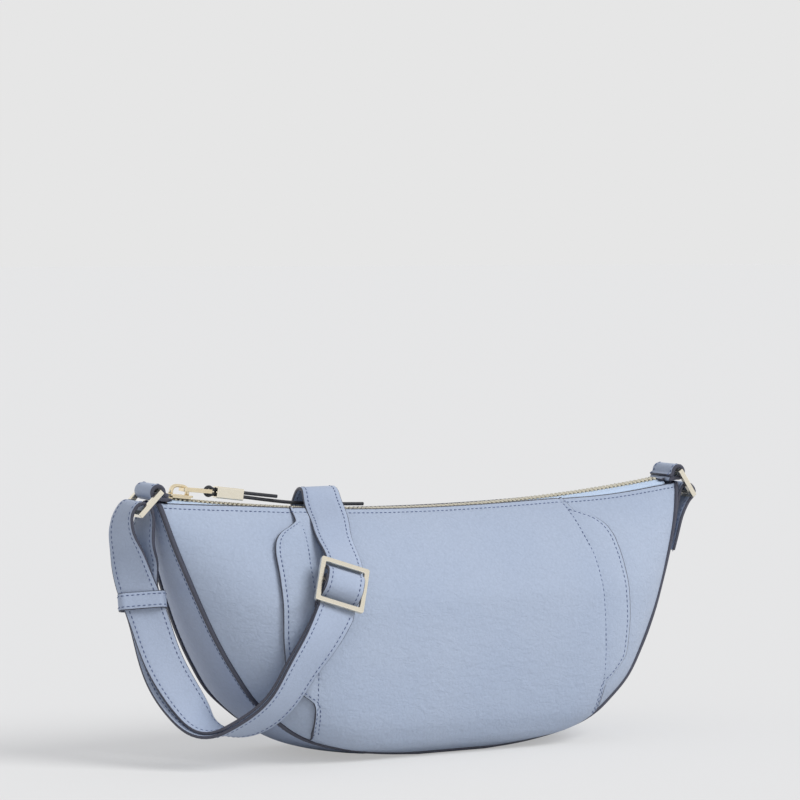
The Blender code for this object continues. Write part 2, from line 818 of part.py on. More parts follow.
right_main_shares = (
    (1.003, 0, 0.920, 0, 1, 0),
    (0.990, 0, 0.840, 0, 1, 0),
    (0.975, 0, 0.770, 0, 1, 0),
    (0.960, 0, 0.712, 0.03, 1, 0),
    (0.952, 0.203, 0.628, 0.25, 0.93, 0.25),
    (0.923, 0.496, 0.524, 0.50, 0.75, 0.40),
    (0.865, 0.857, 0.426, 0.50, 0.80, 0.25),
    (0.761, 1.172, 0.299, 0.45, 0.85, 0.10),
    (0.568, 1.285, 0.165, 0.15, 0.98, 0.00),
    (0.323, 1.285, 0.105, 0.00, 1.00, 0.05),
    (0.077, 1.240, 0.165, 0.20, 0.95, 0.20),
    (-0.129, 1.127, 0.359, 0.55, 0.60, 0.55),
    (-0.271, 0.947, 0.598, 0.85, 0.15, 0.50),
    (-0.361, 0.586, 0.838, 0.95, 0.00, 0.20),
    (-0.387, 0.271, 0.962, 1.00, 0.00, 0.00),
)
left_outer_shares = (
    (-1.080, -0.030, 0.760, 0.66, -0.70, 0.25),
    (-1.092, 0.000, 0.833, 0.40, -0.91, 0.10),
    (-1.107, -0.005, 0.902, 0.20, -0.98, 0),
)
left_inner_shares = (
    (-1.036, -0.006, 0.860, 0.20, -0.97, 0.03),
    (-1.036, 0.030, 0.760, 0.66, -0.70, 0.25),
)
buckle_x_share = -0.476
buckle_rise_share = 0.67
crest_x_share = -0.393
crest_fall_shares = ((1.04, 0.985), (1.07, 0.93), (1.11, 0.87))
crest_tilt = (1, 0, -0.1)

# Ways over the rings' lower bars, in shares of the distance from the bar to the strap's middle
left_wrap_shares = ((-1.7, 0), (0, 2.05), (1.9, 1.7), (3.25, -0.1))
right_wrap_shares = ((-0.5, -1.8), (1.1, 0), (0.55, 1.6), (-1, 2.35), (-2.6, 1.5))

# Ways through the buckle, along it and out of it, in shares of the distance from pin to bar
passage_shares = ((1.38, -0.287), (1, -0.287), (0.815, -0.241), (0.667, -0.046), (0.537, 0.204),
                  (0.324, 0.407), (0, 0.454))
return_shares = ((-1.15, -0.713), (-1, -0.713), (-0.833, -0.704), (-0.556, -0.667), (-0.296, -0.481))
flap_shares = ((-0.426, -0.185), (-0.611, -0.398), (-0.833, -0.491), (-1, -0.5))


def strap_station(row):
    across, deep, high, *side = row
    reach = back_reach if deep > 0 else front_reach
    return Vector((across * half_width_total, deep * reach, high * corner_height)), Vector(side)


def over_bag(x, rise, extra=0):
    out = centre_panel_raise + clearance + strap_thickness / 2 + strap_over_front + extra
    return on_skin(-1, x, rise, out)


def buckle_axes():
    x = buckle_x_share * half_width_total
    outward = skin_normal(-1, x, buckle_rise_share)
    side = Vector(buckle_tilt)
    side = (side - outward * side.dot(outward)).normalized()
    up = outward.cross(side)
    stack = 3 * layer_step + buckle_depth / 2 + buckle_slack + clearance + centre_panel_raise
    centre = on_skin(-1, x, buckle_rise_share, stack + strap_over_front / 2)
    return centre, side, up, outward


buckle_centre, buckle_side, buckle_up, buckle_out = buckle_axes()
pin_wrap = buckle_pin_radius + clearance + strap_thickness / 2
behind_bar = buckle_depth / 2 + buckle_slack + strap_thickness / 2
bar_place = (buckle_height - buckle_bar) / 2


def by_buckle(up, out):
    return buckle_centre + buckle_up * up + buckle_out * out


def ring_bar(side, angle):
    return Vector((side * (roll_x + ring_reach * math.cos(angle)), 0,
                   roll_z - ring_reach * math.sin(angle)))


def leg_layers():
    stations = [strap_station(row) for row in leg_shares]
    places = [place for place, side in stations]
    sides = [side for place, side in stations]
    foot = bar_place + strap_over_bar
    places.append(by_buckle(-foot, -behind_bar - layer_step / 2))
    sides.append(buckle_side)
    route = smooth_route(places, strap_width / 3)
    widths = square_to(route, spread(sides, places, route))
    outside = []
    inside = []
    for point, along, across in zip(route, tangents(route), widths):
        face = along.cross(across) * (layer_step / 2)
        outside.append(point + face)
        inside.append(point - face)
    return outside, inside, widths


def left_loop():
    # From the outer layer at the keeper, over the ring's lower bar, to the inner layer
    bar = ring_bar(-1, left_ring_angle)
    wrap = ring_bar_radius + clearance + strap_thickness / 2
    outer = [strap_station(row) for row in left_outer_shares]
    inner = [strap_station(row) for row in left_inner_shares]
    y_side = Vector((0, -1, 0))
    over = [(bar + Vector((across * wrap, 0, up * wrap)), y_side) for across, up in left_wrap_shares]
    return outer + over + inner


def right_loop():
    bar = ring_bar(1, right_ring_angle)
    wrap = ring_bar_radius + clearance + strap_thickness / 2
    ends = [strap_station(row) for row in right_end_shares]
    y_side = Vector((0, 1, 0))
    over = [(bar + Vector((across * wrap, 0, up * wrap)), y_side) for across, up in right_wrap_shares]
    return ends + over


def crest_stations():
    x = crest_x_share * half_width_total
    top = corner_height + crest_height + strap_thickness / 2
    width = Vector((1, 0, 0))
    rows = [(Vector((x, mouth_half / 2, top)), width), (Vector((x, -mouth_half, top - 3 * clearance)), width)]
    rows += [(over_bag(x * share, rise), Vector(crest_tilt)) for share, rise in crest_fall_shares]
    return rows


def buckle_passage():
    # Behind the top bar, over the pin and behind the lower bar
    path = list(passage_shares) + [(-up, out) for up, out in passage_shares[-2:0:-1]]
    return [(by_buckle(up * bar_place, out * bar_place), buckle_side) for up, out in path]


def buckle_return():
    # The sewn end: up behind the lower bar, round the pin and down again between the layers
    path = [by_buckle(up * bar_place, out * bar_place) for up, out in return_shares]
    steps = 7
    for k in range(steps + 1):
        turn = pin_wrap_start - pin_wrap_turn * k / steps
        path.append(by_buckle(pin_wrap * math.sin(turn), pin_wrap * math.cos(turn)))
    path += [by_buckle(up * bar_place, out * bar_place) for up, out in flap_shares]
    return [(place, buckle_side) for place in path]


def add_strap():
    outside, inside, sides = leg_layers()
    stations = right_loop() + [strap_station(row) for row in right_main_shares]
    stations += crest_stations() + buckle_passage()
    leg = list(zip(inside, sides))
    stations += leg[::-1] + left_loop()[::-1] + list(zip(outside, sides)) + buckle_return()
    places = [place for place, side in stations]
    route = smooth_route(places, strap_width / 3)
    widths = spread([side.normalized() for place, side in stations], places, route)
    add_ribbon("strap", route, widths, strap_width, strap_thickness, blue_leather)


def add_keeper():
    outside, inside, sides = leg_layers()
    route = [(a + b) / 2 for a, b in zip(outside, inside)]
    distance = 0
    spot = 0
    while distance < keeper_drop:
        distance += (route[spot + 1] - route[spot]).length
        spot += 1
    over = (distance - keeper_drop) / (route[spot] - route[spot - 1]).length
    centre = route[spot] * (1 - over) + route[spot - 1] * over
    along = tangents(route)[spot]
    side = (sides[spot] - along * sides[spot].dot(along)).normalized()
    face = along.cross(side)
    frame = Matrix((side, face, along)).transposed().to_4x4()
    frame.translation = centre
    inner_wide = strap_width + 2 * keeper_slack
    inner_deep = strap_thickness + layer_step + 2 * keeper_slack
    outer = rounded_box(inner_wide + 2 * keeper_wall, inner_deep + 2 * keeper_wall, keeper_wall)
    inner = rounded_box(inner_wide, inner_deep, keeper_slack / 2)
    keeper = add_plate("strap_keeper", [outer, inner], keeper_height, blue_leather)
    keeper.matrix_world = frame


def add_buckle():
    frame = Matrix((buckle_side, buckle_up, buckle_out)).transposed().to_4x4()
    frame.translation = buckle_centre
    window = (buckle_width - 2 * buckle_bar, buckle_height - 2 * buckle_bar)
    outer = rounded_box(buckle_width, buckle_height, buckle_corner)
    inner = rounded_box(*window, buckle_corner / 2)
    buckle = add_plate("buckle", [outer, inner], buckle_depth, pale_gold)
    buckle.matrix_world = frame
    reach = buckle_width - buckle_bar
    pin = add_pin("buckle_pin", buckle_pin_radius, reach)
    pin.matrix_world = frame @ Matrix.Rotation(math.pi / 2, 4, "Y")
    combine(buckle, pin, "UNION")


def add_pin(name, radius, length):
    mesh = bpy.data.meshes.new(name)
    work = bmesh.new()
    bmesh.ops.create_cone(work, cap_ends=True, segments=10, radius1=radius, radius2=radius, depth=length)
    work.to_mesh(mesh)
    work.free()
    thing = bpy.data.objects.new(name, mesh)
    helper_parts.objects.link(thing)
    return thing


add_centre_panel()
add_side_panel("front_side_panel_left", -1)
add_side_panel("front_side_panel_right", 1)
add_back_panel()
add_gusset()
add_seam_bead("front_seam_edge", -1)
add_seam_bead("back_seam_edge", 1)
add_stiffener("front_stiffener", -1)
add_stiffener("back_stiffener", 1)
add_lining()
add_tape("zip_tape_front", -1)
add_tape("zip_tape_back", 1)
add_teeth("zip_teeth_front", -1, teeth_start)
add_teeth("zip_teeth_back", 1, teeth_start + tooth_pitch / 2)
add_end_patch("zip_end_patch_left", -1)
add_end_patch("zip_end_patch_right", 1)
add_slider()
add_puller()
add_lace_loop()
add_barrel()
add_tail("lace_tail_upper", 1, upper_tail_length, upper_lift_shares, upper_side_shares)
add_tail("lace_tail_lower", -1, lower_tail_length, lower_lift_shares, lower_side_shares)
add_tab("tab_left", -1)
add_tab("tab_right", 1)
add_ring("ring_left", -1, left_ring_angle)
add_ring("ring_right", 1, right_ring_angle)
add_strap()
add_keeper()
add_buckle()
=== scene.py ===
import math

import bmesh
import bpy
from mathutils import Matrix, Vector


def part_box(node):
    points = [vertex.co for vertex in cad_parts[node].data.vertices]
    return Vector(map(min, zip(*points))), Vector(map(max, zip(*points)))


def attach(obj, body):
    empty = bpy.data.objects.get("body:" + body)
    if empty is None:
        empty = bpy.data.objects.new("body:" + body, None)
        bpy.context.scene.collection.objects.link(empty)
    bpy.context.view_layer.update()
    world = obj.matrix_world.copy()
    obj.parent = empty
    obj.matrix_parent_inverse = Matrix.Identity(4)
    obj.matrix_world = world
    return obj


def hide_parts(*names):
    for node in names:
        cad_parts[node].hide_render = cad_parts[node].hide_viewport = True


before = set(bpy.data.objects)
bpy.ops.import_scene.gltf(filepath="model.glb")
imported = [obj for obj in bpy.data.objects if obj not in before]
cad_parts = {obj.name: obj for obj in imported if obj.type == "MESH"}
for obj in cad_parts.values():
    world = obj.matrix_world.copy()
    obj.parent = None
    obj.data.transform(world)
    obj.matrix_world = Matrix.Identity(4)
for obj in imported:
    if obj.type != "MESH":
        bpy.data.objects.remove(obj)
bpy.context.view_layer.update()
print("frame loaded")

mm = 0.001

# The bag's outline and swell are the solids' sizes. The front panel is raised 1.6 mm here and
# 1.0 mm in the solids
bag = {
    "width": 310 * mm, "seamHeight": 132.2 * mm, "seamLift": 1.5 * mm,
    "mouthDepth": 16.3 * mm, "baseDepth": 64.7 * mm, "frontBulge": 24.5 * mm,
    "backBulge": 12 * mm, "mouthSag": 8 * mm, "gussetBulge": 4.2 * mm,
    "panel": 1.2 * mm, "raise": 1.6 * mm, "raiseFade": 9 * mm, "gusset": 1.5 * mm,
    "edge": 0.15 * mm, "paint": 0.5 * mm, "seam": 2.4 * mm, "depthPower": 0.67, "swellPower": 6,
}
riseAt = (0, 0.008, 0.02, 0.045, 0.077, 0.108, 0.14, 0.239, 0.345, 0.414,
          0.506, 0.60, 0.711, 0.806, 0.856, 1)
reachAt = (0.13, 0.234, 0.324, 0.44, 0.53, 0.583, 0.622, 0.717, 0.778, 0.812,
           0.851, 0.885, 0.923, 0.953, 0.967, 1)
swellRiseAt = (0, 0.045, 0.077, 0.14, 0.208, 0.307, 0.414, 0.506, 0.60,
               0.711, 0.806, 0.856, 0.894, 0.94, 0.97, 1)
swellAt = (0, 0.36, 0.50, 0.69, 0.79, 0.885, 0.955, 0.985, 1,
           0.87, 0.66, 0.52, 0.40, 0.20, 0.10, 0)
wingRiseAt = (0.08, 0.14, 0.208, 0.239, 0.269, 0.307, 0.345, 0.414, 0.506,
              0.60, 0.711, 0.806, 0.856, 0.894, 0.923, 0.94, 1)
wingReachAt = (0.532, 0.545, 0.552, 0.561, 0.594, 0.63, 0.652, 0.658, 0.664,
               0.663, 0.66, 0.655, 0.642, 0.613, 0.561, 0.539, 0.53)
# The inner stitch row of the front panel, height against half width
seamRiseAt = (0.06, 0.20, 0.33, 0.58, 0.75, 0.83, 0.94, 1)
seamReachAt = (0.526, 0.541, 0.546, 0.546, 0.542, 0.53, 0.517, 0.514)


# Helpers for curves, meshes and plates
def hexColour(code):
    # sRGB hex to linear
    parts = [int(code[k:k + 2], 16) / 255 for k in (1, 3, 5)]
    return (*[p / 12.92 if p <= 0.04045 else ((p + 0.055) / 1.055) ** 2.4 for p in parts], 1)


def smoothTable(at, places, values):
    # a monotone cubic through the table, so curves have no corners and no overshoot
    if at <= places[0]:
        return values[0]
    if at >= places[-1]:
        return values[-1]
    k = max(i for i in range(len(places) - 1) if places[i] <= at)
    steps = [(values[i + 1] - values[i]) / (places[i + 1] - places[i])
             for i in range(len(places) - 1)]

    def slope(i):
        if i == 0:
            return steps[0]
        if i == len(steps):
            return steps[-1]
        a, b = steps[i - 1], steps[i]
        return 0 if a * b <= 0 else 2 * a * b / (a + b)
    h = places[k + 1] - places[k]
    t = (at - places[k]) / h
    return (values[k] * (1 + 2 * t) * (1 - t) ** 2 + slope(k) * h * t * (1 - t) ** 2
            + values[k + 1] * t * t * (3 - 2 * t) + slope(k + 1) * h * t * t * (t - 1))


def bump(at, middle, width):
    return math.exp(-((at - middle) / width) ** 2)


def smoothRoute(stations, spacing):
    # a smooth curve that passes through every station
    ends = [2 * stations[0] - stations[1]] + stations + [2 * stations[-1] - stations[-2]]
    route = []
    for a, b, c, d in zip(ends, ends[1:], ends[2:], ends[3:]):
        steps = max(1, round((c - b).length / spacing))
        for k in range(steps):
            t = k / steps
            route.append((2 * b + (c - a) * t + (2 * a - 5 * b + 4 * c - d) * t * t
                          + (3 * b - a - 3 * c + d) * t ** 3) / 2)
    route.append(stations[-1].copy())
    return route


def evenRoute(points, spacing):
    # the same line walked at even steps
    marks = [0]
    for a, b in zip(points, points[1:]):
        marks.append(marks[-1] + (b - a).length)
    count = max(2, round(marks[-1] / spacing))
    out = []
    k = 0
    for i in range(count + 1):
        want = marks[-1] * i / count
        while k < len(marks) - 2 and marks[k + 1] < want:
            k += 1
        span = marks[k + 1] - marks[k] or 1
        out.append(points[k].lerp(points[k + 1], (want - marks[k]) / span))
    return out


def tangents(route, closed=False):
    n = len(route)
    if closed:
        return [(route[(k + 1) % n] - route[k - 1]).normalized() for k in range(n)]
    return [(route[min(k + 1, n - 1)] - route[max(k - 1, 0)]).normalized() for k in range(n)]


def outwards(route, sides, closed=False):
    return [along.cross(side).normalized() for along, side in zip(tangents(route, closed), sides)]


def addObject(name, data):
    thing = bpy.data.objects.new(name, data)
    bpy.context.scene.collection.objects.link(thing)
    return thing


def meshObject(name, points, faces, materials=(), marks=None):
    mesh = bpy.data.meshes.new(name)
    mesh.from_pydata([tuple(p) for p in points], [], faces)
    for material in materials:
        mesh.materials.append(material)
    if marks:
        mesh.polygons.foreach_set("material_index", marks)
    mesh.shade_smooth()
    return addObject(name, mesh)


def gridObject(name, rows, materials):
    count = len(rows[0])
    points = [p for row in rows for p in row]
    faces = []
    for j in range(len(rows) - 1):
        for i in range(j * count, (j + 1) * count - 1):
            faces.append((i, i + 1, i + count + 1, i + count))
    return meshObject(name, points, faces, materials)


def sweep(name, route, sides, section, materials, marks=None, closed=False, faceOut=None):
    # carries a flat section (across, out) along a route; marks gives each strip's material
    points = []
    n = len(section)
    ups = faceOut or outwards(route, sides, closed)
    for point, side, up in zip(route, sides, ups):
        points += [point + side * a + up * b for a, b in section]
    faces = []
    strips = []
    last = len(route) if closed else len(route) - 1
    for k in range(last):
        far = (k + 1) % len(route)
        for i in range(n):
            j = (i + 1) % n
            faces.append((n * k + i, n * k + j, n * far + j, n * far + i))
            strips.append(marks[i] if marks else 0)
    if not closed:
        faces.append(tuple(range(n))[::-1])
        faces.append(tuple(n * (len(route) - 1) + i for i in range(n)))
        strips += [marks[-1] if marks else 0] * 2
    return meshObject(name, points, faces, materials, strips)


def fixNormals(thing):
    work = bmesh.new()
    work.from_mesh(thing.data)
    bmesh.ops.remove_doubles(work, verts=work.verts, dist=0.00001)
    bmesh.ops.recalc_face_normals(work, faces=work.faces)
    work.to_mesh(thing.data)
    work.free()


def addModifier(thing, kind, **settings):
    modifier = thing.modifiers.new(kind.lower(), kind)
    for key, value in settings.items():
        setattr(modifier, key, value)
    return modifier


def applyAll(thing):
    # turns every live modifier, and a curve, into one plain mesh at the origin
    bpy.context.view_layer.update()
    depsgraph = bpy.context.evaluated_depsgraph_get()
    mesh = bpy.data.meshes.new_from_object(thing.evaluated_get(depsgraph))
    mesh.transform(thing.matrix_world)
    name = thing.name
    bpy.data.objects.remove(thing, do_unlink=True)
    return addObject(name, mesh)


def joined(name, parts):
    with bpy.context.temp_override(active_object=parts[0], object=parts[0],
                                   selected_editable_objects=parts):
        bpy.ops.object.join()
    parts[0].name = name
    return parts[0]


def ribbonSection(width, thickness, rounding=0.45):
    # a strap's section: flat faces, with the painted edge as its own strips
    w, t = width / 2, thickness / 2
    r = t * rounding
    face = [(-w + r, -t), (-w / 2, -t), (0, -t), (w / 2, -t), (w - r, -t)]
    edge = [(w - r * 0.25, -t + r * 0.5), (w, 0), (w - r * 0.25, t - r * 0.5)]
    points = face + edge + [(-a, -b) for a, b in face] + [(-a, -b) for a, b in edge]
    marks = [0, 0, 0, 0, 1, 1, 1, 1] * 2
    return points, marks


def roundedOutline(width, height, corner, steps=5):
    points = []
    for k, (a, b) in enumerate(((1, 1), (-1, 1), (-1, -1), (1, -1))):
        for i in range(steps + 1):
            turn = math.pi / 2 * (k + i / steps)
            points.append((a * (width / 2 - corner) + corner * math.cos(turn),
                           b * (height / 2 - corner) + corner * math.sin(turn)))
    return points


def frameOutlines(width, height, bar, corners):
    # the outer and inner outline of a flat frame
    return [roundedOutline(width, height, corners[0]),
            roundedOutline(width - 2 * bar, height - 2 * bar, corners[1])]


def curveObject(name, lines, closed=False, **settings):
    curve = bpy.data.curves.new(name, "CURVE")
    for key, value in settings.items():
        setattr(curve, key, value)
    for points in lines:
        line = curve.splines.new("POLY")
        line.points.add(len(points) - 1)
        line.use_cyclic_u = closed
        for k, point in enumerate(points):
            line.points[k].co = (*point, 1)
    return addObject(name, curve)


def plateObject(name, outlines, thickness, bevel, matrix, material):
    # a flat plate with holes and softened edges
    lines = [[(x, y, 0) for x, y in outline] for outline in outlines]
    guide = curveObject(name, lines, True, dimensions="2D", fill_mode="BOTH",
                        extrude=thickness / 2 - bevel, bevel_depth=bevel, bevel_resolution=2,
                        offset=-bevel)
    guide.data.materials.append(material)
    guide.matrix_world = matrix
    plate = applyAll(guide)
    fixNormals(plate)
    plate.data.shade_flat()
    return plate


def tubeObject(name, route, radius, material, sides=4):
    tube = curveObject(name, [route], dimensions="3D", bevel_depth=radius, bevel_resolution=sides,
                       use_fill_caps=True)
    tube.data.materials.append(material)
    return applyAll(tube)


def finish(piece, body, slotName, *nodes):
    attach(piece, body)
    if nodes:
        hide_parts(*nodes)
    return piece


# Materials
def addNode(tree, kind, settings=None, **links):
    # one node, its settings, and each input given as a value or as another node's socket
    node = tree.nodes.new(kind)
    for key, value in (settings or {}).items():
        setattr(node, key, value)
    for key, value in links.items():
        name = key.replace("_", " ")
        numbered = key.startswith("in") and key[2:].isdigit()
        socket = node.inputs[int(key[2:])] if numbered else node.inputs[name]
        if isinstance(value, bpy.types.NodeSocket):
            tree.links.new(value, socket)
        else:
            socket.default_value = value
    return node


def startMaterial(name, **values):
    material = bpy.data.materials.new(name)
    material.use_nodes = True
    shader = material.node_tree.nodes["Principled BSDF"]
    for key, value in values.items():
        shader.inputs[key.replace("_", " ")].default_value = value
    return material, material.node_tree, shader


def objectPlace(tree):
    return addNode(tree, "ShaderNodeTexCoord").outputs["Object"]


def twoTones(tree, factor, first, second):
    return addNode(tree, "ShaderNodeMix", {"data_type": "RGBA"}, Factor=factor,
                   A=hexColour(first), B=hexColour(second)).outputs[2]


def connectBump(tree, shader, height, strength, distance, below=None):
    under = {"Normal": below} if below else {}
    node = addNode(tree, "ShaderNodeBump", Strength=strength, Distance=distance, Height=height,
                   **under)
    tree.links.new(node.outputs["Normal"], shader.inputs["Normal"])
    return node.outputs["Normal"]


def leatherMaterial(name, light, dark, grain, crease, strength):
    # Drum-dyed calf with an embossed grain: pebbles 1.0 to 1.3 mm wide, soft creases 6 to 9 mm
    # apart, and a slow drift of tone where the hide takes more or less dye
    material, tree, shader = startMaterial(name, Roughness=0.5, IOR=1.48, Specular_IOR_Level=0.5,
                                           Coat_Weight=0.05, Coat_Roughness=0.35)
    place = objectPlace(tree)
    bent = addNode(tree, "ShaderNodeTexNoise", Vector=place, Scale=260, Detail=2)
    mixed = addNode(tree, "ShaderNodeVectorMath", {"operation": "MULTIPLY_ADD"},
                    in0=bent.outputs["Color"], in1=(0.0014, 0.0014, 0.0014), in2=place)
    pebbles = addNode(tree, "ShaderNodeTexVoronoi", {"feature": "SMOOTH_F1"},
                      Vector=mixed.outputs[0], Scale=1 / grain, Smoothness=0.6)
    stretched = addNode(tree, "ShaderNodeMapping", Vector=place, Scale=(0.7, 1, 1.35))
    creases = addNode(tree, "ShaderNodeTexNoise", Vector=stretched.outputs[0], Scale=1 / crease,
                      Detail=4, Roughness=0.6, Distortion=1.1)
    drift = addNode(tree, "ShaderNodeTexNoise", Vector=place, Scale=22, Detail=2)
    # painted shade in the grain: the furrows between the pebbles are drawn a little darker, as shade
    # falls in them
    furrowShade = addNode(tree, "ShaderNodeMapRange", Value=pebbles.outputs["Distance"],
                  From_Min=0.15, From_Max=0.75, To_Min=1.0, To_Max=0.93)
    shade = addNode(tree, "ShaderNodeVectorMath", {"operation": "SCALE"},
                    in0=twoTones(tree, drift.outputs["Fac"], light, dark), Scale=furrowShade.outputs[0])
    tree.links.new(shade.outputs[0], shader.inputs["Base Color"])
    first = connectBump(tree, shader, creases.outputs["Fac"], 0.30 * strength, 0.0011)
    connectBump(tree, shader, pebbles.outputs["Distance"], 0.32 * strength, 0.00022, first)
    return material


def edgeMaterial(name, colour, line):
    # Layers of acrylic edge paint sanded between coats: dark, a little glossy, slightly uneven
    material, tree, shader = startMaterial(name, Roughness=0.42)
    speck = addNode(tree, "ShaderNodeTexNoise", Vector=objectPlace(tree), Scale=900, Detail=2)
    tone = twoTones(tree, speck.outputs["Fac"], colour, line)
    tree.links.new(tone, shader.inputs["Base Color"])
    connectBump(tree, shader, speck.outputs["Fac"], 0.25, 0.0003)
    return material


def metalMaterial(name, colour, tint, roughness):
    # Zinc die casting with a thin pale gold plating: tumbled smooth, faint polishing marks. The
    # zip teeth are plated the same way and a little rougher
    material, tree, shader = startMaterial(name, Metallic=1.0)
    marks = addNode(tree, "ShaderNodeMapping", Vector=objectPlace(tree), Scale=(1, 1, 7))
    haze = addNode(tree, "ShaderNodeTexNoise", Vector=marks.outputs[0], Scale=420, Detail=3)
    tone = twoTones(tree, haze.outputs["Fac"], colour, tint)
    tree.links.new(tone, shader.inputs["Base Color"])
    gloss = addNode(tree, "ShaderNodeMapRange", Value=haze.outputs["Fac"],
                    To_Min=roughness * 0.8, To_Max=roughness * 1.25)
    tree.links.new(gloss.outputs[0], shader.inputs["Roughness"])
    return material


def clothMaterial(name, light, dark, thread):
    # Woven polyester: warp and weft waves, each thread as wide as the given size. The fibre board
    # inside the bag takes the same weave, coarser
    material, tree, shader = startMaterial(name, Roughness=0.8, Sheen_Weight=0.15,
                                           Specular_IOR_Level=0.25)
    place = objectPlace(tree)
    warp, weft = [addNode(tree, "ShaderNodeTexWave", {"bands_direction": direction}, Vector=place,
                          Scale=math.pi / (10 * thread), Distortion=0.6) for direction in ("X", "Z")]
    weave = addNode(tree, "ShaderNodeMath", {"operation": "MULTIPLY"}, in0=warp.outputs["Fac"],
                    in1=weft.outputs["Fac"]).outputs[0]
    tree.links.new(twoTones(tree, weave, dark, light), shader.inputs["Base Color"])
    connectBump(tree, shader, weave, 0.5, 0.0002)
    return material


def threadMaterial(name, light, dark):
    # Bonded nylon thread: its twist of 0.4 mm a turn is too fine to show, and is drawn as dark
    # flecks about 0.6 mm long
    material, tree, shader = startMaterial(name, Roughness=0.6, Sheen_Weight=0.2)
    twist = addNode(tree, "ShaderNodeTexNoise", Vector=objectPlace(tree), Scale=1600, Detail=1)
    tone = twoTones(tree, twist.outputs["Fac"], light, dark)
    tree.links.new(tone, shader.inputs["Base Color"])
    return material


panelLeather = leatherMaterial("grained calf leather, light blue", "#a6b1c3", "#9ba8bd",
                               grain=1.3 * mm, crease=6 * mm, strength=1.6)
strapLeather = leatherMaterial("smooth calf strap, light blue", "#a6b1c4", "#9ba8be",
                               grain=1.0 * mm, crease=9 * mm, strength=0.7)
gussetLeather = leatherMaterial("soft calf gusset, light blue", "#a2adc3", "#97a4bc",
                                grain=1.3 * mm, crease=6 * mm, strength=1.3)
edgePaint = edgeMaterial("edge paint, blue black", "#33343f", "#484a58")
lacePaint = edgeMaterial("waxed leather lace, black", "#1d1e22", "#34353b")
paleGold = metalMaterial("pale gold plated zinc, polished", "#f6f0e0", "#ece3cd", 0.2)
warmGold = metalMaterial("warm gold plated zinc, polished", "#f2e6cb", "#e3cfa6", 0.2)
toothMetal = metalMaterial("zip teeth, pale nickel gold", "#e9e5d6", "#cfc8b2", 0.34)
tapeCloth = clothMaterial("woven zip tape, pale blue", "#c8d5e7", "#b2c5dd", 0.45 * mm)
liningCloth = clothMaterial("twill lining, grey blue", "#8d99b4", "#76829e", 0.4 * mm)
boardStock = clothMaterial("bonded fibre board, grey", "#b4b0a8", "#989389", 0.9 * mm)
thread = threadMaterial("bonded nylon thread, dark blue", "#4c5b82", "#3e4b70")
print("materials made")


# The bag's surfaces, by height share of the seam and by place across
halfWidthTotal = bag["width"] / 2
mouthHalf = bag["mouthDepth"] / 2
baseHalf = bag["baseDepth"] / 2
cornerHeight = bag["seamLift"] + bag["seamHeight"]


def levelOf(rise):
    return bag["seamLift"] + bag["seamHeight"] * rise


def halfWidth(rise):
    return halfWidthTotal * smoothTable(max(rise, 0), riseAt, reachAt)


def halfDepth(rise):
    return mouthHalf + (baseHalf - mouthHalf) * max(0, 1 - rise) ** bag["depthPower"]


def wingReach(rise):
    return halfWidthTotal * smoothTable(rise, wingRiseAt, wingReachAt)


def stitchReach(rise):
    return halfWidthTotal * smoothTable(rise, seamRiseAt, seamReachAt)


def sway(x, rise):
    # slow unevenness of the leather between its seams, at most about 0.5 mm
    return (0.28 * mm * math.sin(x / 0.021 + 1.3) * math.sin(rise * 7.5 + x / 0.06)
            + 0.22 * mm * math.sin(x / 0.047 - 0.6) * math.sin(rise * 4.1 + 0.5))


def skin(side, x, rise):
    across = min(1, abs(x) / halfWidth(rise))
    bulge = bag["frontBulge"] if side < 0 else bag["backBulge"]
    swell = bulge * (1 - across ** bag["swellPower"]) * smoothTable(rise, swellRiseAt, swellAt)
    height = levelOf(rise) - bag["mouthSag"] * (1 - across ** 2) * rise ** 3
    calm = (1 - across ** 4) * math.sin(math.pi * min(1, max(0, rise))) ** 0.5
    return Vector((x, side * (halfDepth(rise) + swell + sway(x, rise) * calm), height))


def skinNormal(side, x, rise):
    step = 0.008
    reach = halfWidth(rise) * step
    across = skin(side, x + reach, rise) - skin(side, x - reach, rise)
    up = skin(side, x, min(1, rise + step)) - skin(side, x, max(0, rise - step))
    return across.cross(up).normalized() * -side


def onSkin(side, x, rise, out=0):
    return skin(side, x, rise) + skinNormal(side, x, rise) * out


def innerReach(rise, inset):
    return halfWidth(rise - inset / bag["seamHeight"]) - inset


def riseSteps(low, high, count):
    # rows drawn closer near the foot and the mouth
    return [low + (high - low) * (0.5 - 0.5 * math.cos(math.pi * k / count)) ** 0.85
            for k in range(count + 1)]


# How deep the stitched rows pull the leather in, and how far each row keeps from its edge
sewing = {"seamGroove": 0.30 * mm, "edgeGroove": 0.2 * mm, "grooveWide": 0.7 * mm,
          "wingGrooveWide": 0.6 * mm, "wingInset": 3.0 * mm, "topInset": 2.5 * mm,
          "endInset": 3.5 * mm, "gussetInset": 1.6 * mm, "tabInset": 1.8 * mm,
          "strapInset": 2.3 * mm, "keeperInset": 1.6 * mm, "pillow": 0.4 * mm}
mouth = {"from": 0.88, "span": 0.12, "lift": 1.3 * mm, "liftAt": -105 * mm, "liftWide": 42 * mm,
         "dip": 1.2 * mm, "dipAt": 112 * mm, "dipWide": 30 * mm}
topRise = 1 - sewing["topInset"] / bag["seamHeight"]


def raiseAt(x, rise):
    # the front panel stands proud at its wings and runs out nearly to nothing at the seam
    away = min(halfWidth(rise) - abs(x), rise * bag["seamHeight"], (1 - rise) * bag["seamHeight"])
    share = min(1, max(0.15, away / bag["raiseFade"]))
    return bag["raise"] * share * share * (3 - 2 * share)


def topGroove(rise):
    return sewing["edgeGroove"] * bump((rise - topRise) * bag["seamHeight"], 0, sewing["grooveWide"])


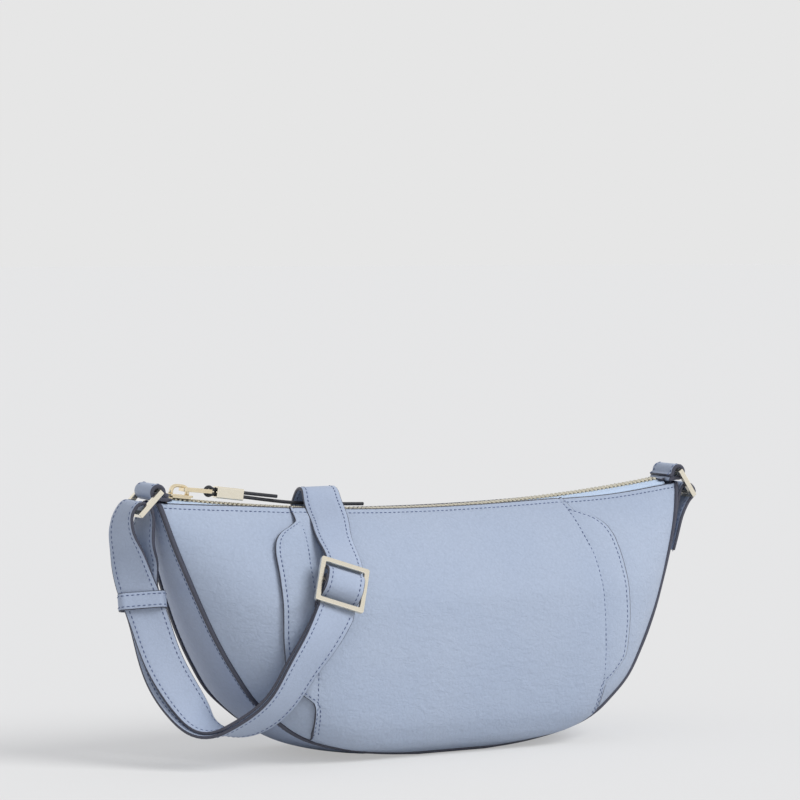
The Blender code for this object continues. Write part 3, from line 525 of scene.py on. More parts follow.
def centreRelief(x, rise):
    # the stitched rows pull the leather in, and the wing swells a little between them
    edge = wingReach(rise) - abs(x)
    row = abs(x) - stitchReach(rise)
    groove = -sewing["seamGroove"] * bump(row, 0, sewing["grooveWide"])
    groove -= sewing["edgeGroove"] * bump(edge, sewing["wingInset"], sewing["wingGrooveWide"])
    groove -= topGroove(rise)
    between = min(1, max(0, row / max(edge + row, mm)))
    pillow = sewing["pillow"] * max(0, math.sin(math.pi * between))
    return raiseAt(x, rise) + groove + (pillow if edge > 0 and row > 0 else 0)


def sideRelief(x, rise):
    # the side panels lie lower than the middle one, with a few soft folds
    fold = 0.3 * mm * math.sin(x / 0.009 + rise * 9) * math.sin(math.pi * rise) ** 2
    return fold * 0.5 - 0.35 * mm - topGroove(rise)


def mouthShift(x, rise):
    # the mouth's front edge stands higher beside the closed slider and dips at the open end
    near = max(0, (rise - mouth["from"]) / mouth["span"]) ** 2
    return near * (mouth["lift"] * bump(x, mouth["liftAt"], mouth["liftWide"])
                   - mouth["dip"] * bump(x, mouth["dipAt"], mouth["dipWide"]))


def addPanel(name, side, edges, thickness, settings):
    # a leather panel whose outermost strip and rim carry the edge paint
    painted = bag["paint"] / bag["seamHeight"]
    low = settings["low"]
    rises = [low, low + painted]
    rises += riseSteps(low + 2 * painted, 1 - 2 * painted, settings["rows"])
    rises += [1 - painted, 1]
    count = settings["columns"]
    rows = []
    for rise in rises:
        left, right = edges(rise)
        paint = min(bag["paint"], (right - left) / 6)
        places = [left, left + paint]
        places += [left + 2 * paint + (right - left - 4 * paint) * k / count
                   for k in range(count + 1)]
        places += [right - paint, right]
        row = []
        for x in places:
            edge = min(x - left, right - x)
            tuck = -0.15 * mm * bump(edge, 0, 0.5 * mm)  # the edge lies a little lower
            point = onSkin(side, x, rise, settings["relief"](x, rise) + tuck)
            point.z += mouthShift(x, rise) if side < 0 else 0
            row.append(point)
        rows.append(row if side < 0 else row[::-1])
    panel = gridObject(name, rows, [panelLeather, edgePaint])
    across = len(rows[0]) - 1
    for face in panel.data.polygons:
        column, row = face.index % across, face.index // across
        if column in (0, across - 1) or row in (0, len(rows) - 2):
            face.material_index = 1
    addModifier(panel, "SOLIDIFY", thickness=thickness, offset=-1, material_offset_rim=1)
    return applyAll(panel)


def centreEdges(rise):
    reach = innerReach(rise, bag["edge"])
    if rise > wingRiseAt[0]:
        reach = min(reach, wingReach(rise) - 0.45 * mm)
    return -reach, reach


def backEdges(rise):
    reach = innerReach(rise, bag["edge"])
    return -reach, reach


foot = bag["edge"] / bag["seamHeight"]
centrePanel = addPanel("frontCentrePanel", -1, centreEdges, bag["panel"] + bag["raise"],
                       {"low": foot, "rows": 96, "columns": 150, "relief": centreRelief})
finish(centrePanel, "bag", "blue_leather", "front_centre_panel")

sidePanel = {"lap": 5 * mm, "least": 1.5 * mm, "thick": bag["panel"] - 0.3 * mm}
for side, word, node in ((-1, "Left", "front_side_panel_left"),
                         (1, "Right", "front_side_panel_right")):
    def sideEdges(rise, side=side):
        near, far = wingReach(rise) - sidePanel["lap"], innerReach(rise, bag["edge"])
        near = min(near, far - sidePanel["least"])
        return (near, far) if side > 0 else (-far, -near)
    panel = addPanel("frontSidePanel" + word, -1, sideEdges, sidePanel["thick"],
                     {"low": 0.075, "rows": 84, "columns": 56, "relief": sideRelief})
    finish(panel, "bag", "blue_leather", node)

backPanel = addPanel("backPanel", 1, backEdges, bag["panel"],
                     {"low": foot, "rows": 72, "columns": 120, "relief": lambda x, rise: 0})
finish(backPanel, "bag", "blue_leather", "back_panel")
print("panels made")


def seamLine(spacing=2.5 * mm):
    # the seam outline from the left corner round the foot to the right corner
    count = 150
    rises = [(k / count) ** 2 for k in range(count + 1)]
    left = [Vector((-halfWidth(r), 0, levelOf(r))) for r in reversed(rises)]
    right = [Vector((-p.x, 0, p.z)) for p in reversed(left)]
    low = smoothRoute([left[-3], left[-1], right[0], right[2]], spacing)[1:-1]
    return evenRoute(left[:-1] + low + right[1:], spacing)


def riseOf(z):
    return max(0, min(1, (z - bag["seamLift"]) / bag["seamHeight"]))


def outwardOf(along):
    return Vector((along.z, 0, -along.x)).normalized()


gusset = {"strips": 16, "bulgeAt": (0, 0.1, 0.5, 0.8, 1), "bulge": (1, 1, 1, 0.6, 0.2)}
seamPoints = seamLine()


def onGusset(point, along, across, out):
    # a place on the gusset, from -1 at the front seam to 1 at the back one
    rise = riseOf(point.z)
    swell = bag["gussetBulge"] * smoothTable(rise, gusset["bulgeAt"], gusset["bulge"])
    place = point + outwardOf(along) * (swell * (1 - across ** 2) + out)
    place.y = across * (halfDepth(rise) - bag["seam"])
    return place


rows = []
for point, along in zip(seamPoints, tangents(seamPoints)):
    row = []
    for k in range(gusset["strips"] + 1):
        across = 2 * k / gusset["strips"] - 1
        dent = (0.5 * mm * math.sin(point.z / 0.013 + across * 1.5) * (1 - across ** 2)
                * min(1, riseOf(point.z) * 4))
        place = onGusset(point, along, across, dent)
        place.z = max(0, place.z)
        row.append(place)
    rows.append(row)
gussetPiece = gridObject("gusset", rows, [gussetLeather, edgePaint])
addModifier(gussetPiece, "SOLIDIFY", thickness=bag["gusset"], offset=-1, material_offset_rim=1)
gussetPiece = applyAll(gussetPiece)
finish(gussetPiece, "bag", "blue_leather", "gusset")

# Two painted leather edges lie side by side along each seam, with a fine groove between them
seamEdge = {"thick": 1.05 * mm, "proud": 0.95 * mm, "gap": 0.25 * mm, "behind": 0.7 * mm,
            "clear": 0.05 * mm}
for side, name, node in ((-1, "frontSeamEdge", "front_seam_edge"),
                         (1, "backSeamEdge", "back_seam_edge")):
    parts = []
    for layer in (-1, 1):
        route = []
        for point in seamPoints:
            shift = layer * (seamEdge["thick"] + seamEdge["gap"]) / 2
            depth = halfDepth(riseOf(point.z)) - seamEdge["behind"] + shift
            route.append(Vector((point.x, side * depth, point.z)))
        sides = [Vector((0, 1, 0))] * len(route)
        ups = [outwardOf(along) for along in tangents(route)]
        t, h = seamEdge["thick"] / 2, seamEdge["proud"]
        section = [(-t, -1.2 * h), (t, -1.2 * h), (t, h * 0.4), (t * 0.6, h), (-t * 0.6, h),
                   (-t, h * 0.4)]
        for point, up in zip(route, ups):
            point.z = max(point.z, h * abs(up.z) + seamEdge["clear"])
        parts.append(sweep(name + str(layer), route, sides, section, [edgePaint], faceOut=ups))
        fixNormals(parts[-1])
    finish(joined(name, parts), "bag", "edge_paint", node)
print("gusset and seams made")


# Stitches and zip teeth, placed along lines by Geometry Nodes
def makeRowTree(name, kind):
    # places a small rounded body along a curve at an even pitch
    tree = bpy.data.node_groups.new(name, "GeometryNodeTree")
    for label, kindOf, value in (("Geometry", "Geometry", None), ("Pitch", "Float", 2.6 * mm),
                                 ("Length", "Float", 1.8 * mm), ("Thickness", "Float", 0.5 * mm),
                                 ("Height", "Float", 0.5 * mm), ("Material", "Material", None)):
        item = tree.interface.new_socket(label, in_out="INPUT", socket_type="NodeSocket" + kindOf)
        if value is not None:
            item.default_value = value
    tree.interface.new_socket("Geometry", in_out="OUTPUT", socket_type="NodeSocketGeometry")
    group = addNode(tree, "NodeGroupInput").outputs
    line = addNode(tree, "GeometryNodeResampleCurve", {"mode": "LENGTH"}, Curve=group["Geometry"],
                   Length=group["Pitch"])
    along = addNode(tree, "GeometryNodeInputTangent")
    if kind == "tooth":
        turn = addNode(tree, "FunctionNodeAlignRotationToVector", {"axis": "X", "pivot_axis": "Y"},
                       Vector=along.outputs[0])
        body = addNode(tree, "GeometryNodeMeshCylinder", Vertices=10, Radius=0.5, Depth=1)
        shaped = addNode(tree, "GeometryNodeTransform", Geometry=body.outputs["Mesh"],
                         Rotation=(math.pi / 2, 0, 0))
    else:
        turn = addNode(tree, "FunctionNodeAlignRotationToVector", {"axis": "X"},
                       Vector=along.outputs[0])
        body = addNode(tree, "GeometryNodeMeshUVSphere", Segments=8, Rings=5, Radius=0.5)
        shaped = addNode(tree, "GeometryNodeTransform", Geometry=body.outputs["Mesh"],
                         Rotation=(0, math.pi / 2, 0))
    size = addNode(tree, "ShaderNodeCombineXYZ", X=group["Length"], Y=group["Thickness"],
                   Z=group["Height"])
    placed = addNode(tree, "GeometryNodeInstanceOnPoints", Points=line.outputs[0],
                     Instance=shaped.outputs[0], Rotation=turn.outputs[0], Scale=size.outputs[0])
    real = addNode(tree, "GeometryNodeRealizeInstances", Geometry=placed.outputs[0])
    smooth = addNode(tree, "GeometryNodeSetShadeSmooth", Geometry=real.outputs[0])
    painted = addNode(tree, "GeometryNodeSetMaterial", Geometry=smooth.outputs[0],
                      Material=group["Material"])
    tree.links.new(painted.outputs[0], addNode(tree, "NodeGroupOutput").inputs[0])
    return tree


stitchTree = makeRowTree("stitchRow", "stitch")
toothTree = makeRowTree("toothRow", "tooth")


def rowObject(name, lines, tree, material, **sizes):
    thing = curveObject(name, lines, dimensions="3D")
    modifier = thing.modifiers.new("row", "NODES")
    modifier.node_group = tree
    sockets = {item.name: item.identifier for item in tree.interface.items_tree
               if item.in_out == "INPUT"}
    modifier[sockets["Material"]] = material
    for key, value in sizes.items():
        modifier[sockets[key]] = value
    return applyAll(thing)


stitch = {"Pitch": 2.6 * mm, "Length": 1.75 * mm, "Thickness": 0.62 * mm, "Height": 0.5 * mm}
threadProud = {"front": 0.08 * mm, "back": 0.05 * mm, "strap": 0.02 * mm}


def addStitches(name, body, lines):
    finish(rowObject(name, lines, stitchTree, thread, **stitch), body, "blue_leather")


def lineOnFront(place, low, high, count=90):
    line = []
    for k in range(count + 1):
        rise = low + (high - low) * k / count
        out = centreRelief(place(rise), rise) + threadProud["front"]
        line.append(onSkin(-1, place(rise), rise, out))
    return line


frontRows = []
for side in (-1, 1):
    frontRows.append(lineOnFront(lambda r: side * stitchReach(r), 0.10, 0.965))
    frontRows.append(lineOnFront(lambda r: side * (wingReach(r) - sewing["wingInset"]), 0.12, 0.95))
topLine = []
topPlaces = [(2 * k / 160 - 1) * (halfWidthTotal - sewing["endInset"]) for k in range(161)]
for x in topPlaces:
    relief = centreRelief if abs(x) < wingReach(topRise) else sideRelief
    topLine.append(onSkin(-1, x, topRise, relief(x, topRise) + threadProud["front"]))
    topLine[-1].z += mouthShift(x, topRise)
frontRows.append(topLine)
addStitches("frontPanelStitches", "bag", frontRows)
backRow = [onSkin(1, x, topRise, threadProud["back"]) for x in topPlaces]
addStitches("backPanelStitches", "bag", [backRow])
gussetRows = []
for side in (-1, 1):
    row = []
    for point, along in zip(seamPoints, tangents(seamPoints)):
        halfGusset = halfDepth(riseOf(point.z)) - bag["seam"]
        across = side * (1 - sewing["gussetInset"] / halfGusset)
        place = onGusset(point, along, across, threadProud["back"])
        if place.z > 2 * mm:  # none under the flat that the bag rests on
            row.append(place)
    gussetRows += [[p for p in row if p.x < 0], [p for p in row if p.x > 0]]
addStitches("gussetStitches", "bag", gussetRows)
print("stitches made")

# Zip: two tapes, two rows of teeth and the leather end patches
zipSizes = {"pitch": 2.54 * mm, "thick": 2.6 * mm, "halfWide": 3.0 * mm, "height": 125.1 * mm,
            "rise": 10 * mm, "endGap": 9 * mm, "tape": 0.6 * mm, "patch": 2.9 * mm, "play": 0.3 * mm}
chainEnd = halfWidthTotal - zipSizes["endGap"]
arcRadius = (chainEnd ** 2 + zipSizes["rise"] ** 2) / (2 * zipSizes["rise"])
arcCentre = zipSizes["height"] + arcRadius


def chainPoint(x, above=0):
    turn = math.asin(x / arcRadius)
    reach = arcRadius - above
    return Vector((reach * math.sin(turn), 0, arcCentre - reach * math.cos(turn)))


tapeDrop = zipSizes["thick"] / 2 + 0.6 * mm
# the tape beside the teeth, in mm to the side and up, and then where it's sewn inside the panel
tapeProfile = ((1.2, 1.1), (2.2, 1.3), (3.1, 0.9), (4.2, 0.2), (6.3, 0.1))
sewnRises = (1, 0.99, 0.975, 0.96, 0.945)
sewnInside = -2.2 * mm
for side, name, node in ((-1, "zipTapeFront", "zip_tape_front"), (1, "zipTapeBack", "zip_tape_back")):
    rows = []
    for k in range(97):
        x = (chainEnd + zipSizes["patch"]) * (2 * k / 96 - 1)
        flat = chainPoint(x, -tapeDrop)
        row = [flat + Vector((0, side * y * mm, z * mm)) for y, z in tapeProfile]
        for rise in sewnRises:
            point = onSkin(side, x, rise, sewnInside)
            row.append(Vector((flat.x, point.y, min(point.z, flat.z))))
        rows.append(row if side < 0 else row[::-1])
    tape = gridObject(name, rows, [tapeCloth])
    addModifier(tape, "SOLIDIFY", thickness=zipSizes["tape"], offset=0)
    addModifier(tape, "SUBSURF", levels=1, render_levels=1)
    finish(applyAll(tape), "bag", "tape_cloth", node)

tooth = {"Pitch": zipSizes["pitch"], "Length": 1.3 * mm, "Thickness": 3.9 * mm,
         "Height": zipSizes["thick"] * 0.86}
toothPlace = {"aside": 1.0 * mm, "drop": 0.25 * mm, "firstGap": 2.7 * mm, "lastGap": 0.8 * mm}
sliderLength = 11.6 * mm
sliderX = sliderLength / 2 - chainEnd
teethStart = sliderX - sliderLength / 2 + toothPlace["firstGap"]
for side, name, node, lag in ((-1, "zipTeethFront", "zip_teeth_front", 0),
                              (1, "zipTeethBack", "zip_teeth_back", 0.5)):
    start = teethStart + zipSizes["pitch"] * (0.25 + lag)
    line = []
    for k in range(301):
        point = chainPoint(start + (chainEnd - toothPlace["lastGap"] - start) * k / 300)
        line.append(point + Vector((0, side * toothPlace["aside"], -toothPlace["drop"])))
    teeth = rowObject(name, [line], toothTree, toothMetal, **tooth)
    finish(teeth, "bag", "chain_metal", node)

patchSizes = {"halfWide": 6.2 * mm, "thick": 1.4 * mm, "gap": 0.3 * mm, "lift": 1.5 * mm}
for side, name, node in ((-1, "zipEndPatchLeft", "zip_end_patch_left"),
                         (1, "zipEndPatchRight", "zip_end_patch_right")):
    rows = []
    for k in range(7):
        x = side * (chainEnd + patchSizes["gap"] + (zipSizes["patch"] - 2 * patchSizes["gap"]) * k / 6)
        base = chainPoint(x, patchSizes["lift"] - zipSizes["thick"] / 2)
        rows.append([base + Vector((0, patchSizes["halfWide"] * across / 4, 0))
                     for across in range(-4, 5)])
    patch = gridObject(name, rows if side < 0 else rows[::-1], [strapLeather, edgePaint])
    addModifier(patch, "SOLIDIFY", thickness=patchSizes["thick"], offset=-1, material_offset_rim=1)
    finish(applyAll(patch), "bag", "blue_leather", node)
print("zip made")

# Slider, puller and lace
slider = {"front": 8.6 * mm, "back": 9.8 * mm, "plate": 1.0 * mm, "bevel": 0.25 * mm,
          "rail": 0.9 * mm, "railDrop": 1.2 * mm, "railFoot": 0.5 * mm, "railShort": 1.2 * mm,
          "wedgeLong": 2.4 * mm, "wedgeWide": 2.6 * mm, "wedgeBevel": 0.2 * mm,
          "lowGap": 0.9 * mm, "cornerLong": 1.5 * mm, "cornerWide": 0.95 * mm,
          "bridge": 10.4 * mm, "bridgeRise": 5.5 * mm, "bridgeBar": 1.3 * mm,
          "bridgeThick": 1.7 * mm, "bridgeWide": 3.0 * mm, "archSquare": 0.62, "barSquare": 0.6}
puller = {"long": 16.2 * mm, "wide": 7.8 * mm, "bar": 1.7 * mm, "thick": 1.5 * mm,
          "deep": 2.1 * mm, "lift": 0.4 * mm, "corners": (1.2 * mm, 0.5 * mm), "bevel": 0.22 * mm}
lace = {"diameter": 1.8 * mm, "bend": 1.2 * mm, "start": 3.6 * mm, "barrel": 15 * mm,
        "square": 6 * mm, "wall": 0.8 * mm, "upper": 33 * mm, "lower": 84 * mm, "tuck": 0.3 * mm}
sliderTurn = math.asin(sliderX / arcRadius)
sliderFrame = Matrix.Translation(chainPoint(sliderX)) @ Matrix.Rotation(-sliderTurn, 4, "Y")
topPlate = zipSizes["thick"] / 2 + zipSizes["play"] + slider["plate"] / 2
lowPlate = -zipSizes["thick"] / 2 - zipSizes["tape"] - slider["lowGap"] - slider["plate"] / 2
bridgeCorner = slider["bridgeRise"] / 3
pullerEye = math.hypot(puller["bar"], puller["thick"]) / 2 + zipSizes["play"]
hingeX = slider["bridge"] / 2 - slider["bridgeBar"] - pullerEye - bridgeCorner / 4
hingeZ = topPlate + slider["plate"] / 2 + slider["bridgeRise"] - slider["bridgeBar"] - pullerEye
pullTurn = -math.atan2(puller["lift"], puller["long"])
pullFrame = sliderFrame @ Matrix.Translation((hingeX, 0, hingeZ)) @ Matrix.Rotation(pullTurn, 4, "Y")
laceFrame = (pullFrame @ Matrix.Translation((puller["long"] - puller["bar"], 0, 0))
             @ Matrix.Rotation(-pullTurn, 4, "Y"))


def boxObject(name, size, place, matrix, material, bevel):
    mesh = bpy.data.meshes.new(name)
    work = bmesh.new()
    shape = matrix @ Matrix.Translation(place) @ Matrix.Diagonal((*size, 1))
    bmesh.ops.create_cube(work, size=1, matrix=shape)
    work.to_mesh(mesh)
    work.free()
    mesh.materials.append(material)
    thing = addObject(name, mesh)
    addModifier(thing, "BEVEL", width=bevel, segments=3)
    return applyAll(thing)


def squared(turn, power):
    # a point on a circle drawn out towards a square
    c, s = math.cos(turn), math.sin(turn)
    return math.copysign(abs(c) ** power, c), math.copysign(abs(s) ** power, s)


half = sliderLength / 2
plate = []
for x, y in ((half, slider["front"] / 2), (-half, slider["back"] / 2), (-half, -slider["back"] / 2),
             (half, -slider["front"] / 2)):
    for k in range(5):
        turn = math.atan2(y, x) + math.radians(-32 + 16 * k)
        plate.append((x * 0.86 + slider["cornerLong"] * math.cos(turn),
                      y * 0.80 + slider["cornerWide"] * math.sin(turn)))
parts = [plateObject(name, [plate], slider["plate"], slider["bevel"],
                     sliderFrame @ Matrix.Translation((0, 0, height)), warmGold)
         for name, height in (("sliderTop", topPlate), ("sliderLow", lowPlate))]
wedgePlace = Vector((slider["wedgeLong"] / 2 - half, 0, (topPlate + lowPlate) / 2))
parts.append(boxObject("sliderWedge", (slider["wedgeLong"], slider["wedgeWide"], topPlate - lowPlate),
                       wedgePlace, sliderFrame, warmGold, slider["wedgeBevel"]))
railSize = (sliderLength - slider["railShort"], slider["rail"], slider["railDrop"] + slider["railFoot"])
for side in (-1, 1):
    place = Vector((0, side * (zipSizes["halfWide"] + zipSizes["play"] + slider["rail"] / 2),
                    topPlate - slider["railDrop"] / 2))
    parts.append(boxObject("sliderRail", railSize, place, sliderFrame, warmGold, slider["bevel"]))
bridgeHalf = slider["bridge"] / 2 - slider["bridgeBar"] / 2
archHigh = slider["bridgeRise"] - slider["bridgeBar"] / 2
arch = [squared(math.pi * k / 24, slider["archSquare"]) for k in range(25)]
archRoute = [sliderFrame @ Vector((bridgeHalf * a, 0, topPlate + archHigh * b)) for a, b in arch]
archSides = [sliderFrame.to_3x3() @ Vector((0, 1, 0))] * len(archRoute)
section = [squared(2 * math.pi * k / 16, slider["barSquare"]) for k in range(16)]
section = [(a * slider["bridgeWide"] / 2 * 0.96, b * slider["bridgeThick"] / 2) for a, b in section]
bridge = sweep("sliderBridge", archRoute, archSides, section, [warmGold])
fixNormals(bridge)
parts.append(bridge)
finish(joined("zipSlider", parts), "slider", "pale_gold", "zip_slider")

pullerOutlines = frameOutlines(puller["long"], puller["wide"], puller["bar"], puller["corners"])
pullerMiddle = Matrix.Translation((puller["long"] / 2 - puller["bar"] / 2, 0, 0))
pullerPiece = plateObject("zipPuller", pullerOutlines, puller["deep"], puller["bevel"],
                          pullFrame @ pullerMiddle, warmGold)
finish(pullerPiece, "puller", "pale_gold", "zip_puller")

bend = lace["bend"] + lace["diameter"] / 2
strand = lace["diameter"] / 2 + 0.15 * mm
entry = lace["start"] + lace["wall"]
loop = [Vector((entry, 0, strand)), Vector((lace["start"] - lace["tuck"], 0, strand))]
loop += [Vector((bend * math.cos(math.radians(t)), 0, bend * math.sin(math.radians(t))))
         for t in range(50, 311, 13)]
loop += [Vector((lace["start"] - lace["tuck"], 0, -strand)), Vector((entry, 0, -strand))]
loopPiece = tubeObject("pullLaceLoop", smoothRoute([laceFrame @ p for p in loop], 0.3 * mm),
                       lace["diameter"] / 2, lacePaint)
finish(loopPiece, "lace", "black_lace", "pull_lace_loop")

barrelOutlines = [roundedOutline(lace["square"], lace["square"], 0.7 * mm),
                  roundedOutline(lace["diameter"] + 0.6 * mm, lace["square"] - 2 * lace["wall"],
                                 0.3 * mm)]
barrelFrame = (laceFrame @ Matrix.Translation((lace["start"] + lace["barrel"] / 2, 0, 0))
               @ Matrix.Rotation(math.pi / 2, 4, "Z") @ Matrix.Rotation(math.pi / 2, 4, "X"))
barrel = plateObject("pullBarrel", barrelOutlines, lace["barrel"], 0.3 * mm, barrelFrame, paleGold)
finish(barrel, "lace", "pale_gold", "pull_barrel")


def tailRoute(strandSide, length, lifts, sides):
    start = lace["start"] + lace["wall"] + lace["tuck"]
    offset = strandSide * strand
    straight = lace["start"] + lace["barrel"] + lace["diameter"]
    stations = [laceFrame @ Vector((reach, 0, offset)) for reach in (start, straight)]
    first = stations[1]
    rest = zipSizes["thick"] / 2 + zipSizes["play"] + lace["diameter"] / 2
    over = first.z - chainPoint(first.x, rest).z
    left = length - (stations[1] - stations[0]).length
    for k, (lift, side) in enumerate(zip(lifts, sides)):
        x = first.x + left * (k + 1) / len(lifts)
        point = chainPoint(x, rest)
        stations.append(Vector((point.x, -zipSizes["halfWide"] * side, point.z + over * lift)))
    return smoothRoute(stations, 2 * mm)


for name, node, strandSide, length, lifts, sides in (
        ("laceTailUpper", "lace_tail_upper", 1, lace["upper"], (0.9, 0.8), (0.2, 0.6)),
        ("laceTailLower", "lace_tail_lower", -1, lace["lower"], (0.45, 0, 0, 0, 0),
         (-0.2, -0.3, 0.1, 0.4, 0.2))):
    route = tailRoute(strandSide, length, lifts, sides)
    tail = tubeObject(name, route, lace["diameter"] / 2, lacePaint)
    finish(tail, "lace", "black_lace", node)
print("slider and lace made")

# Tabs and rings
tab = {"wide": 20 * mm, "thick": 2.2 * mm, "inset": 4.6 * mm, "bore": 2.1 * mm, "height": 5.1 * mm,
       "overhang": 0.6 * mm}
ring = {"bar": 1.2 * mm, "reach": 14.4 * mm, "inside": 21 * mm, "left": 45, "right": 57,
        "flatBar": 2.7 * mm, "plate": 2.7 * mm, "outerCorner": 0.7 * mm, "innerCorner": 0.4 * mm,
        "bevel": 0.25 * mm}
rollRadius = tab["bore"] + tab["thick"] / 2
rollX = halfWidthTotal + tab["overhang"]
rollZ = cornerHeight + tab["height"]


def tabRoute():
    # a short tongue on the bag, round the ring's bar, and down to the end patch
    tongue = -tab["overhang"] - tab["inset"]
    top = -tab["height"] + 0.3 * mm + tab["thick"] / 2
    route = [Vector((tongue, 0, top - 1.0 * mm)), Vector((tongue, 0, top))]
    for k in range(37):
        turn = math.radians(-105 + 285 * k / 36)
        route.append(Vector((rollRadius * math.cos(turn), 0, rollRadius * math.sin(turn))))
    patchTop = patchSizes["lift"] - zipSizes["thick"] / 2 + 0.3 * mm
    footZ = chainPoint(chainEnd + patchSizes["gap"], patchTop).z
    leg = footZ - rollZ + tab["thick"] / 2
    end = [Vector((-rollRadius, 0, 0)), Vector((-rollRadius - tab["thick"] / 4, 0, leg / 2)),
           Vector((-rollRadius - tab["thick"], 0, leg))]
    return route[:-1] + smoothRoute(end, 0.4 * mm)


for side, name, node in ((-1, "tabLeft", "tab_left"), (1, "tabRight", "tab_right")):
    route = [Vector((side * (rollX + p.x), 0, rollZ + p.z)) for p in tabRoute()]
    sides = [Vector((0, side, 0))] * len(route)
    section, marks = ribbonSection(tab["wide"], tab["thick"], 0.5)
    piece = sweep(name, route, sides, section, [strapLeather, edgePaint], marks)
    fixNormals(piece)
    rows = []
    line = [k for k in range(len(route)) if k > 22]
    ups = outwards(route, sides)
    for y in (-1, 1):
        aside = Vector((0, y * (tab["wide"] / 2 - sewing["tabInset"]), 0))
        rows.append([route[k] - ups[k] * (tab["thick"] / 2 + threadProud["back"]) + aside
                     for k in line])
    if (rows[0][5] - Vector((side * rollX, 0, rollZ))).length < rollRadius:
        # the rows lie on the roll's inner face, so they go through to the outer one
        rows = [[p + ups[k] * (tab["thick"] + 2 * threadProud["back"]) for p, k in zip(row, line)]
                for row in rows]
    finish(piece, "bag", "blue_leather", node)
    addStitches(name + "Stitches", "bag", rows)

for side, name, node, angle in ((-1, "ringLeft", "ring_left", ring["left"]),
                                (1, "ringRight", "ring_right", ring["right"])):
    direction = Vector((side * math.cos(math.radians(angle)), 0, -math.sin(math.radians(angle))))
    across = Vector((0, 1, 0))
    matrix = Matrix((across, direction, across.cross(direction))).transposed().to_4x4()
    matrix.translation = Vector((side * rollX, 0, rollZ)) + direction * ring["reach"] / 2
    bar = ring["flatBar"]
    outer = roundedOutline(ring["inside"] + 2 * bar, ring["reach"] + bar, ring["outerCorner"])
    inner = roundedOutline(ring["inside"], ring["reach"] - bar, ring["innerCorner"])
    piece = plateObject(name, [outer, inner], ring["plate"], ring["bevel"], matrix, paleGold)
    finish(piece, node, "pale_gold", node)
print("tabs and rings made")

# Strap. Each row is a place, in shares of half the width, of the front or back reach and of the
# corner height, and then the direction of the strap's width
strapSizes = {"wide": 20 * mm, "thick": 1.8 * mm, "gap": 0.55 * mm, "overFront": 0.9 * mm,
              "crest": 2.5 * mm, "overBar": 3.4 * mm, "slack": 0.3 * mm,
              "parting": 0.7 * mm, "partingAt": 0.26, "partingWide": 0.1,
              "slip": 2.6 * mm, "slipAt": 0.33, "slipWide": 0.15}
legShares = (
    (-1.052, -0.010, 0.671, 0.83, -0.44, 0.34), (-1.035, -0.046, 0.615, 0.87, -0.37, 0.33),
    (-1.022, -0.077, 0.559, 0.91, -0.31, 0.29), (-1.004, -0.121, 0.468, 0.93, -0.22, 0.29),
    (-0.982, -0.174, 0.381, 0.92, -0.08, 0.38), (-0.945, -0.250, 0.289, 0.90, 0.06, 0.43),
    (-0.912, -0.325, 0.219, 0.90, 0.22, 0.37), (-0.895, -0.365, 0.178, 0.86, 0.39, 0.33),
    (-0.872, -0.410, 0.150, 0.70, 0.68, 0.20), (-0.835, -0.488, 0.137, 0.52, 0.84, -0.15),
    (-0.775, -0.618, 0.160, 0.63, 0.63, -0.45), (-0.716, -0.746, 0.211, 0.75, 0.48, -0.46),
    (-0.668, -0.848, 0.288, 0.85, 0.40, -0.35), (-0.635, -0.925, 0.380, 0.86, 0.32, -0.39),
    (-0.569, -0.975, 0.492, 0.85, 0.13, -0.52),
)
rightEndShares = (
    (0.980, -0.02, 0.722, 0, 1, 0), (0.988, -0.02, 0.750, 0, 1, 0),
    (1.003, -0.02, 0.810, 0, 1, 0), (1.015, -0.02, 0.862, 0, 1, 0),
)
rightMainShares = (
    (1.003, 0, 0.920, 0, 1, 0), (0.990, 0, 0.840, 0, 1, 0), (0.975, 0, 0.770, 0, 1, 0),
    (0.960, 0, 0.712, 0.03, 1, 0), (0.952, 0.203, 0.628, 0.25, 0.93, 0.25),
    (0.923, 0.496, 0.524, 0.50, 0.75, 0.40), (0.865, 0.857, 0.426, 0.50, 0.80, 0.25),
    (0.761, 1.172, 0.299, 0.45, 0.85, 0.10), (0.568, 1.285, 0.165, 0.15, 0.98, 0.00),
    (0.323, 1.285, 0.105, 0.00, 1.00, 0.05), (0.077, 1.240, 0.165, 0.20, 0.95, 0.20),
    (-0.129, 1.127, 0.359, 0.55, 0.60, 0.55), (-0.271, 0.947, 0.598, 0.85, 0.15, 0.50),
    (-0.361, 0.586, 0.838, 0.95, 0.00, 0.20), (-0.387, 0.271, 0.962, 1.00, 0.00, 0.00),
)
leftOuterShares = (
    (-1.080, -0.030, 0.760, 0.66, -0.70, 0.25), (-1.092, 0.000, 0.833, 0.40, -0.91, 0.10),
    (-1.107, -0.005, 0.902, 0.20, -0.98, 0),
)
leftInnerShares = (
    (-1.036, -0.006, 0.860, 0.20, -0.97, 0.03), (-1.036, 0.030, 0.760, 0.66, -0.70, 0.25),
)
buckleXShare = -0.476
buckleRise = 0.67
crestXShare = -0.393
buckle = {"wide": 26.4 * mm, "high": 24.2 * mm, "bar": 2.6 * mm, "deep": 3 * mm,
          "plate": 2.6 * mm, "corner": 1.2 * mm, "bevel": 0.45 * mm, "pin": 1.4 * mm,
          "slack": 0.7 * mm}
